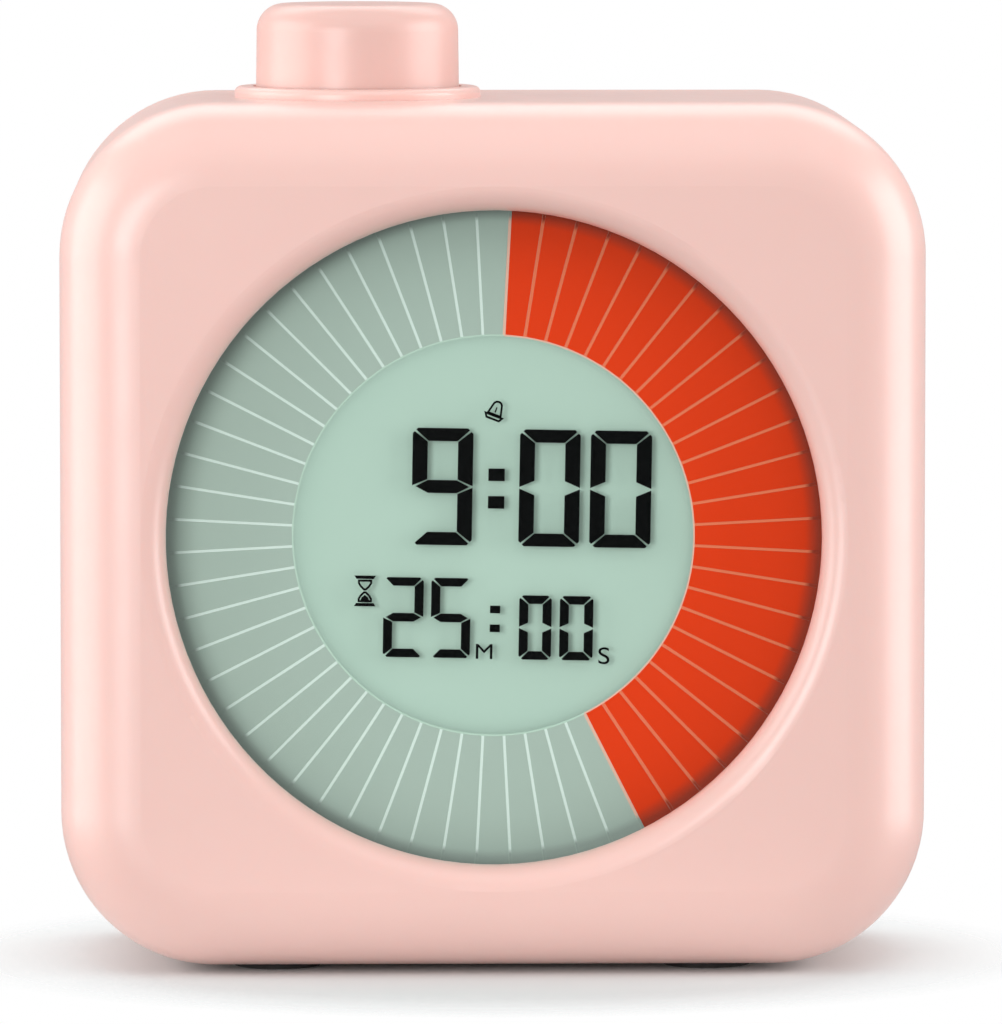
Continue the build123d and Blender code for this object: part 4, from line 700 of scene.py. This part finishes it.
# %% [markdown]
# Two small signs stand beside the digits: a bell for the alarm and an hourglass for the countdown. Both
# are drawn in outline on the real display. Here a face with the sign's outline is inset, its middle is
# deleted, and the band that is left is pushed back like the bars of the digits.

# %% Bell and hourglass
# Places are from the middle of the display and outlines from the middle of the sign, all in millimetres
SIGN_STROKE = 0.19
BELL_PLACE = (0.02, 11.58)
BELL_TILT = math.radians(20)
BELL_HEAD = 0.52
BELL_RISE = 0.42
BELL_FOOT = [(-0.74, -0.5), (0.74, -0.5)]
BELL_BRIM = [(-0.98, -0.42), (-0.66, -0.94), (0.66, -0.94), (0.98, -0.42)]
BELL_MARK = [(-0.06, -0.2), (0.06, -0.2), (0.06, 0.3), (-0.06, 0.3)]
GLASS_PLACE = (-11.78, -5.32)
GLASS_HALF_BULB = [(0.66, 1.05), (0.66, 0.7), (0.45, 0.36), (0.12, 0.04)]
GLASS_SAND = [(-0.4, -0.86), (0.4, -0.86), (0.3, -0.62), (0.0, -0.36), (-0.3, -0.62)]
GLASS_LID = [(-1.0, 1.42), (-0.8, 1.12), (0.8, 1.12), (1.0, 1.42)]


def turned(points, angle):
    """Points turned clockwise about their own zero."""
    cosine, sine = math.cos(angle), math.sin(angle)
    return [(px * cosine + pz * sine, pz * cosine - px * sine) for px, pz in points]


def add_band(shape, points, place):
    """The outline of a sign as a band of even width."""
    face = flat_face(shape, points, place)
    face.normal_update()
    band = bmesh.ops.inset_region(
        shape, faces=[face], thickness=SIGN_STROKE * MM, use_even_offset=True, use_boundary=True
    )["faces"]
    bmesh.ops.delete(shape, geom=[face], context="FACES_ONLY")
    push_back(shape, band)


dome = [
    (BELL_HEAD * math.cos(math.radians(angle)), BELL_RISE + BELL_HEAD * math.sin(math.radians(angle)))
    for angle in range(0, 181, 30)
]
bulb = GLASS_HALF_BULB + [(-px, pz) for px, pz in reversed(GLASS_HALF_BULB)]

signs = bmesh.new()
for bell_line in (dome + BELL_FOOT, BELL_BRIM):
    add_band(signs, turned(bell_line, BELL_TILT), BELL_PLACE)
add_outline(signs, turned(BELL_MARK, BELL_TILT), BELL_PLACE)
for side in (1, -1):
    add_band(signs, [(px, side * pz) for px, pz in bulb], GLASS_PLACE)
    add_outline(signs, [(px, side * pz) for px, pz in GLASS_LID], GLASS_PLACE)
add_outline(signs, GLASS_SAND, GLASS_PLACE)
turn_readout(signs)
display_signs = new_piece("display_signs", signs, segment_ink, "housing")
print("signs:", display_signs.name)

# %% [markdown]
# The letters M and S mark minutes and seconds. Blender's own font is close to the plain letters of such a
# display: a text object is filled, turned into a mesh, and the mesh is laid into the plane of the
# segments.

# %% Unit letters
# Letter, left edge, foot and height in millimetres
LETTERS = (("M", -1.62, -11.45, 1.35), ("S", 9.78, -11.75, 1.5))
CAP_HEIGHT = 0.67
LETTER_STRETCH = 1.2

letters = bmesh.new()
for letter, left, foot, height in LETTERS:
    text = bpy.data.curves.new("unit_letter", "FONT")
    text.body = letter
    text.size = height * MM / CAP_HEIGHT
    carrier = bpy.data.objects.new("unit_letter", text)
    flat = bpy.data.meshes.new_from_object(carrier)
    bpy.data.objects.remove(carrier)
    flat.transform(
        Matrix.Translation((display_middle.x + left * MM, display_face, display_middle.z + foot * MM))
        @ Matrix.Rotation(math.pi / 2, 4, "X")
        @ Matrix.Scale(LETTER_STRETCH, 4, (1.0, 0.0, 0.0))
    )
    letters.from_mesh(flat)
    bpy.data.meshes.remove(flat)
push_back(letters, letters.faces[:])
turn_readout(letters)
unit_letters = new_piece("unit_letters", letters, segment_ink, "housing")
print("letters:", unit_letters.name)

# %% [markdown]
# The feet, the slider and everything inside get a finish too, because the case can be opened. A table
# keeps this short: a colour, a roughness, whether it is metal, and the solids that wear it.

# %% Finishes inside the case
INNER_FINISHES = {
    "black_rubber": ((46, 43, 42), 0.8, 0.0, ("rubber_feet",)),
    "grey_silicone": ((196, 192, 188), 0.6, 0.0, ("case_seal",)),
    "black_foam": ((26, 26, 26), 0.9, 0.0, ("display_gasket",)),
    "clear_tape": ((214, 214, 208), 0.4, 0.0, ("lens_tape",)),
    "light_guide": ((238, 242, 242), 0.2, 0.0, ("backlight_guide",)),
    "white_plastic": ((236, 234, 229), 0.45, 0.0, ("sound_slider", "display_frame", "backlight_leds")),
    "black_plastic": (
        (30, 30, 32), 0.5, 0.0,
        ("encoder_rotor", "tact_switches", "mode_plunger", "set_plunger", "sound_switch", "buzzer_case"),
    ),
    "striped_silicone": ((190, 160, 166), 0.6, 0.0, ("zebra_strip",)),
    "green_board": ((24, 92, 58), 0.4, 0.0, ("main_board", "key_board")),
    "black_epoxy": ((16, 16, 16), 0.25, 0.0, ("controller_blob",)),
    "zinc_steel": (
        (176, 178, 180), 0.32, 1.0,
        ("case_screws", "board_screws", "key_board_screws", "encoder_base", "encoder_shaft",
         "encoder_washer", "encoder_nut"),
    ),
    "nickel_spring": (
        (206, 204, 196), 0.24, 1.0, ("positive_contact", "negative_contact", "link_contact"),
    ),
    "yellow_brass": ((212, 168, 92), 0.3, 1.0, ("buzzer_disc",)),
    "cell_sleeve": ((104, 124, 140), 0.35, 0.0, ("battery_cells",)),
    "flat_cable": ((208, 202, 186), 0.5, 0.0, ("ribbon_cable",)),
    "wire_insulation": ((158, 32, 30), 0.45, 0.0, ("battery_leads", "buzzer_leads", "encoder_leads")),
}
inner = {}
for name, (swatch, roughness, metal, members) in INNER_FINISHES.items():
    colour = screen_colour(*swatch)
    inner[name] = new_finish(name, colour, roughness, Metallic=metal)
    cloud(inner[name], colour, 0.05, 4 * MM)
    grain(inner[name], 0.3 * MM, 0.004 * MM)
    uneven_gloss(inner[name], roughness * 0.85, roughness * 1.15, 1.5 * MM)
    dress(inner[name], *members)
print("inner finishes:", len(inner))

# %% [markdown]
# Some inner parts have a pattern of their own. The silicone strip is striped, the flat cable shows its
# conductors, and the boards have traces. Each pattern is a second colour laid over the first where a
# factor is high, and wave bands along X give the stripes. They could be modelled as separate strips, but
# at this size the difference wouldn't show.

# %% Striped parts
# Finish, colour of its stripes, pitch, and the height of the wave where a stripe starts
WAVE_UNIT = 2 * math.pi / 20
STRIPE_EDGE = 0.1
STRIPES = (
    ("striped_silicone", (52, 46, 48), 0.2 * MM, 0.5),
    ("flat_cable", (178, 124, 78), 1.0 * MM, 0.45),
    ("green_board", (44, 116, 76), 1.27 * MM, 0.8),
)


def overlay(material, factor, colour):
    """Lay a colour over the present one where the factor is high."""
    socket = shader_input(material, "Base Color")
    join(material, blend_colours(material, factor, socket.links[0].from_socket, colour), socket)


for name, swatch, pitch, start in STRIPES:
    wave = add_node(inner[name], "ShaderNodeTexWave", Scale=WAVE_UNIT / pitch, Distortion=0.0)
    wave.bands_direction = "X"
    join(inner[name], own_place(inner[name]), wave.inputs["Vector"])
    stripe = remap(inner[name], wave.outputs["Fac"], start, start + STRIPE_EDGE, 0.0, 1.0)
    overlay(inner[name], stripe, screen_colour(*swatch))
print("striped finishes:", len(STRIPES))

# %% [markdown]
# A cell wears a plain sleeve with a pale band at its raised end, and the end itself is bare metal. The
# two cells are one solid, so one finish has to serve both. Its factor is the distance along a cell,
# counted the other way round for the lower one, because the two lie head to tail.

# %% Battery cells
CELL_BAND = (9.0 * MM, 9.2 * MM)
CELL_CAP = (21.2 * MM, 21.4 * MM)
BAND_GREY = screen_colour(214, 217, 214)
CAP_GREY = screen_colour(186, 186, 184)


def combine(material, operation, first, second):
    """Result of a sum on two values, each a socket or a number."""
    node = material.node_tree.nodes.new("ShaderNodeMath")
    node.operation = operation
    join(material, first, node.inputs[0])
    join(material, second, node.inputs[1])
    return node.outputs["Value"]


sleeve = inner["cell_sleeve"]
cell_low, cell_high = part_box("battery_cells")
cell_place = add_node(sleeve, "ShaderNodeSeparateXYZ")
join(sleeve, own_place(sleeve), cell_place.inputs["Vector"])
cell_row = combine(sleeve, "SUBTRACT", cell_place.outputs["Z"], (cell_low.z + cell_high.z) / 2)
along = combine(sleeve, "MULTIPLY", combine(sleeve, "SIGN", cell_row, 0.0), cell_place.outputs["X"])
overlay(sleeve, remap(sleeve, along, *CELL_BAND, 0.0, 1.0), BAND_GREY)
overlay(sleeve, remap(sleeve, along, *CELL_CAP, 0.0, 1.0), CAP_GREY)
print("cells in mm:", [round(v / MM, 1) for v in cell_high - cell_low])

# %% [markdown]
# Four cross-head screws hold the case together and sit in wells in its back. Their solids are plain pins,
# so each gets a copy with a real recess. A circle and a cross are bridged into one face, the cross is
# pushed in, the rim is pushed down, and the underside is inset and pushed on as the shank. A boolean
# could cut the recess too, but it leaves untidy faces. A bevel softens the edge of the head.

# %% Pattern of a case screw
HEAD_RADIUS = 2.3 * MM
HEAD_HEIGHT = 1.6 * MM
HEAD_EDGE = 0.35 * MM
HEAD_SIDES = 48
SHANK_RADIUS = 1.15 * MM
CROSS_REACH = 1.3 * MM
CROSS_HALF = 0.3 * MM
CROSS_DEPTH = 0.9 * MM

screw_low, screw_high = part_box("case_screws")
shank_length = screw_high.y - screw_low.y - HEAD_HEIGHT


def ring_of(shape, points):
    """Closed loop of edges through points on the face of a screw's head."""
    corners = [shape.verts.new((px, 0.0, pz)) for px, pz in points]
    return [shape.edges.new(pair) for pair in zip(corners, corners[1:] + corners[:1])]


side_angle = 2 * math.pi / HEAD_SIDES
circle = [
    (HEAD_RADIUS * math.cos(k * side_angle), HEAD_RADIUS * math.sin(k * side_angle))
    for k in range(HEAD_SIDES)
]
quarter = [(CROSS_REACH, -CROSS_HALF), (CROSS_REACH, CROSS_HALF), (CROSS_HALF, CROSS_HALF)]
head = bmesh.new()
rim = ring_of(head, circle)
cross = ring_of(head, [point for k in range(4) for point in turned(quarter, -k * math.pi / 2)])
bmesh.ops.bridge_loops(head, edges=rim + cross)
recess = bmesh.ops.contextual_create(head, geom=cross)["faces"]
move_deeper(head, bmesh.ops.extrude_face_region(head, geom=recess)["geom"], -CROSS_DEPTH)
bmesh.ops.delete(head, geom=recess, context="FACES_ONLY")
wall = bmesh.ops.extrude_edge_only(head, edges=rim)["geom"]
move_deeper(head, wall, -HEAD_HEIGHT)
lower_rim = [item for item in wall if isinstance(item, bmesh.types.BMEdge)]
under = bmesh.ops.contextual_create(head, geom=lower_rim)["faces"]
head.normal_update()
bmesh.ops.inset_region(
    head, faces=under, thickness=HEAD_RADIUS - SHANK_RADIUS, use_even_offset=True, use_boundary=True
)
move_deeper(head, bmesh.ops.extrude_face_region(head, geom=under)["geom"], -shank_length)
bmesh.ops.delete(head, geom=under, context="FACES_ONLY")
bmesh.ops.bevel(head, geom=rim, offset=HEAD_EDGE, affect="EDGES", segments=3, profile=0.5, material=-1)
bmesh.ops.recalc_face_normals(head, faces=head.faces)
pattern = bpy.data.meshes.new("screw_pattern")
head.to_mesh(pattern)
head.free()
print("faces of a screw:", len(pattern.polygons))

# %% [markdown]
# The four screws are copies of the pattern in one mesh. Each is turned by a different amount, because no
# two screws stop at the same angle. Four linked objects would share one mesh, but every piece has its
# place in its own mesh here.

# %% Case screws
# Side, level and turn in degrees
SCREW_PLACES = ((-1, -1, 12), (1, -1, 57), (1, 1, 33), (-1, 1, 71))

screw_middle = (screw_low + screw_high) / 2
screw_reach = (screw_high.x - screw_low.x) / 2 - HEAD_RADIUS
screws = bmesh.new()
for side, level, turn in SCREW_PLACES:
    copy = pattern.copy()
    place = Vector((screw_middle.x + side * screw_reach, screw_high.y, screw_middle.z + level * screw_reach))
    copy.transform(Matrix.Translation(place) @ Matrix.Rotation(math.radians(turn), 4, "Y"))
    screws.from_mesh(copy)
    bpy.data.meshes.remove(copy)
bpy.data.meshes.remove(pattern)
cross_screws = new_piece("cross_head_screws", screws, inner["zinc_steel"], "housing")
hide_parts("case_screws")
print("screws:", len(SCREW_PLACES), "faces:", len(cross_screws.data.polygons))
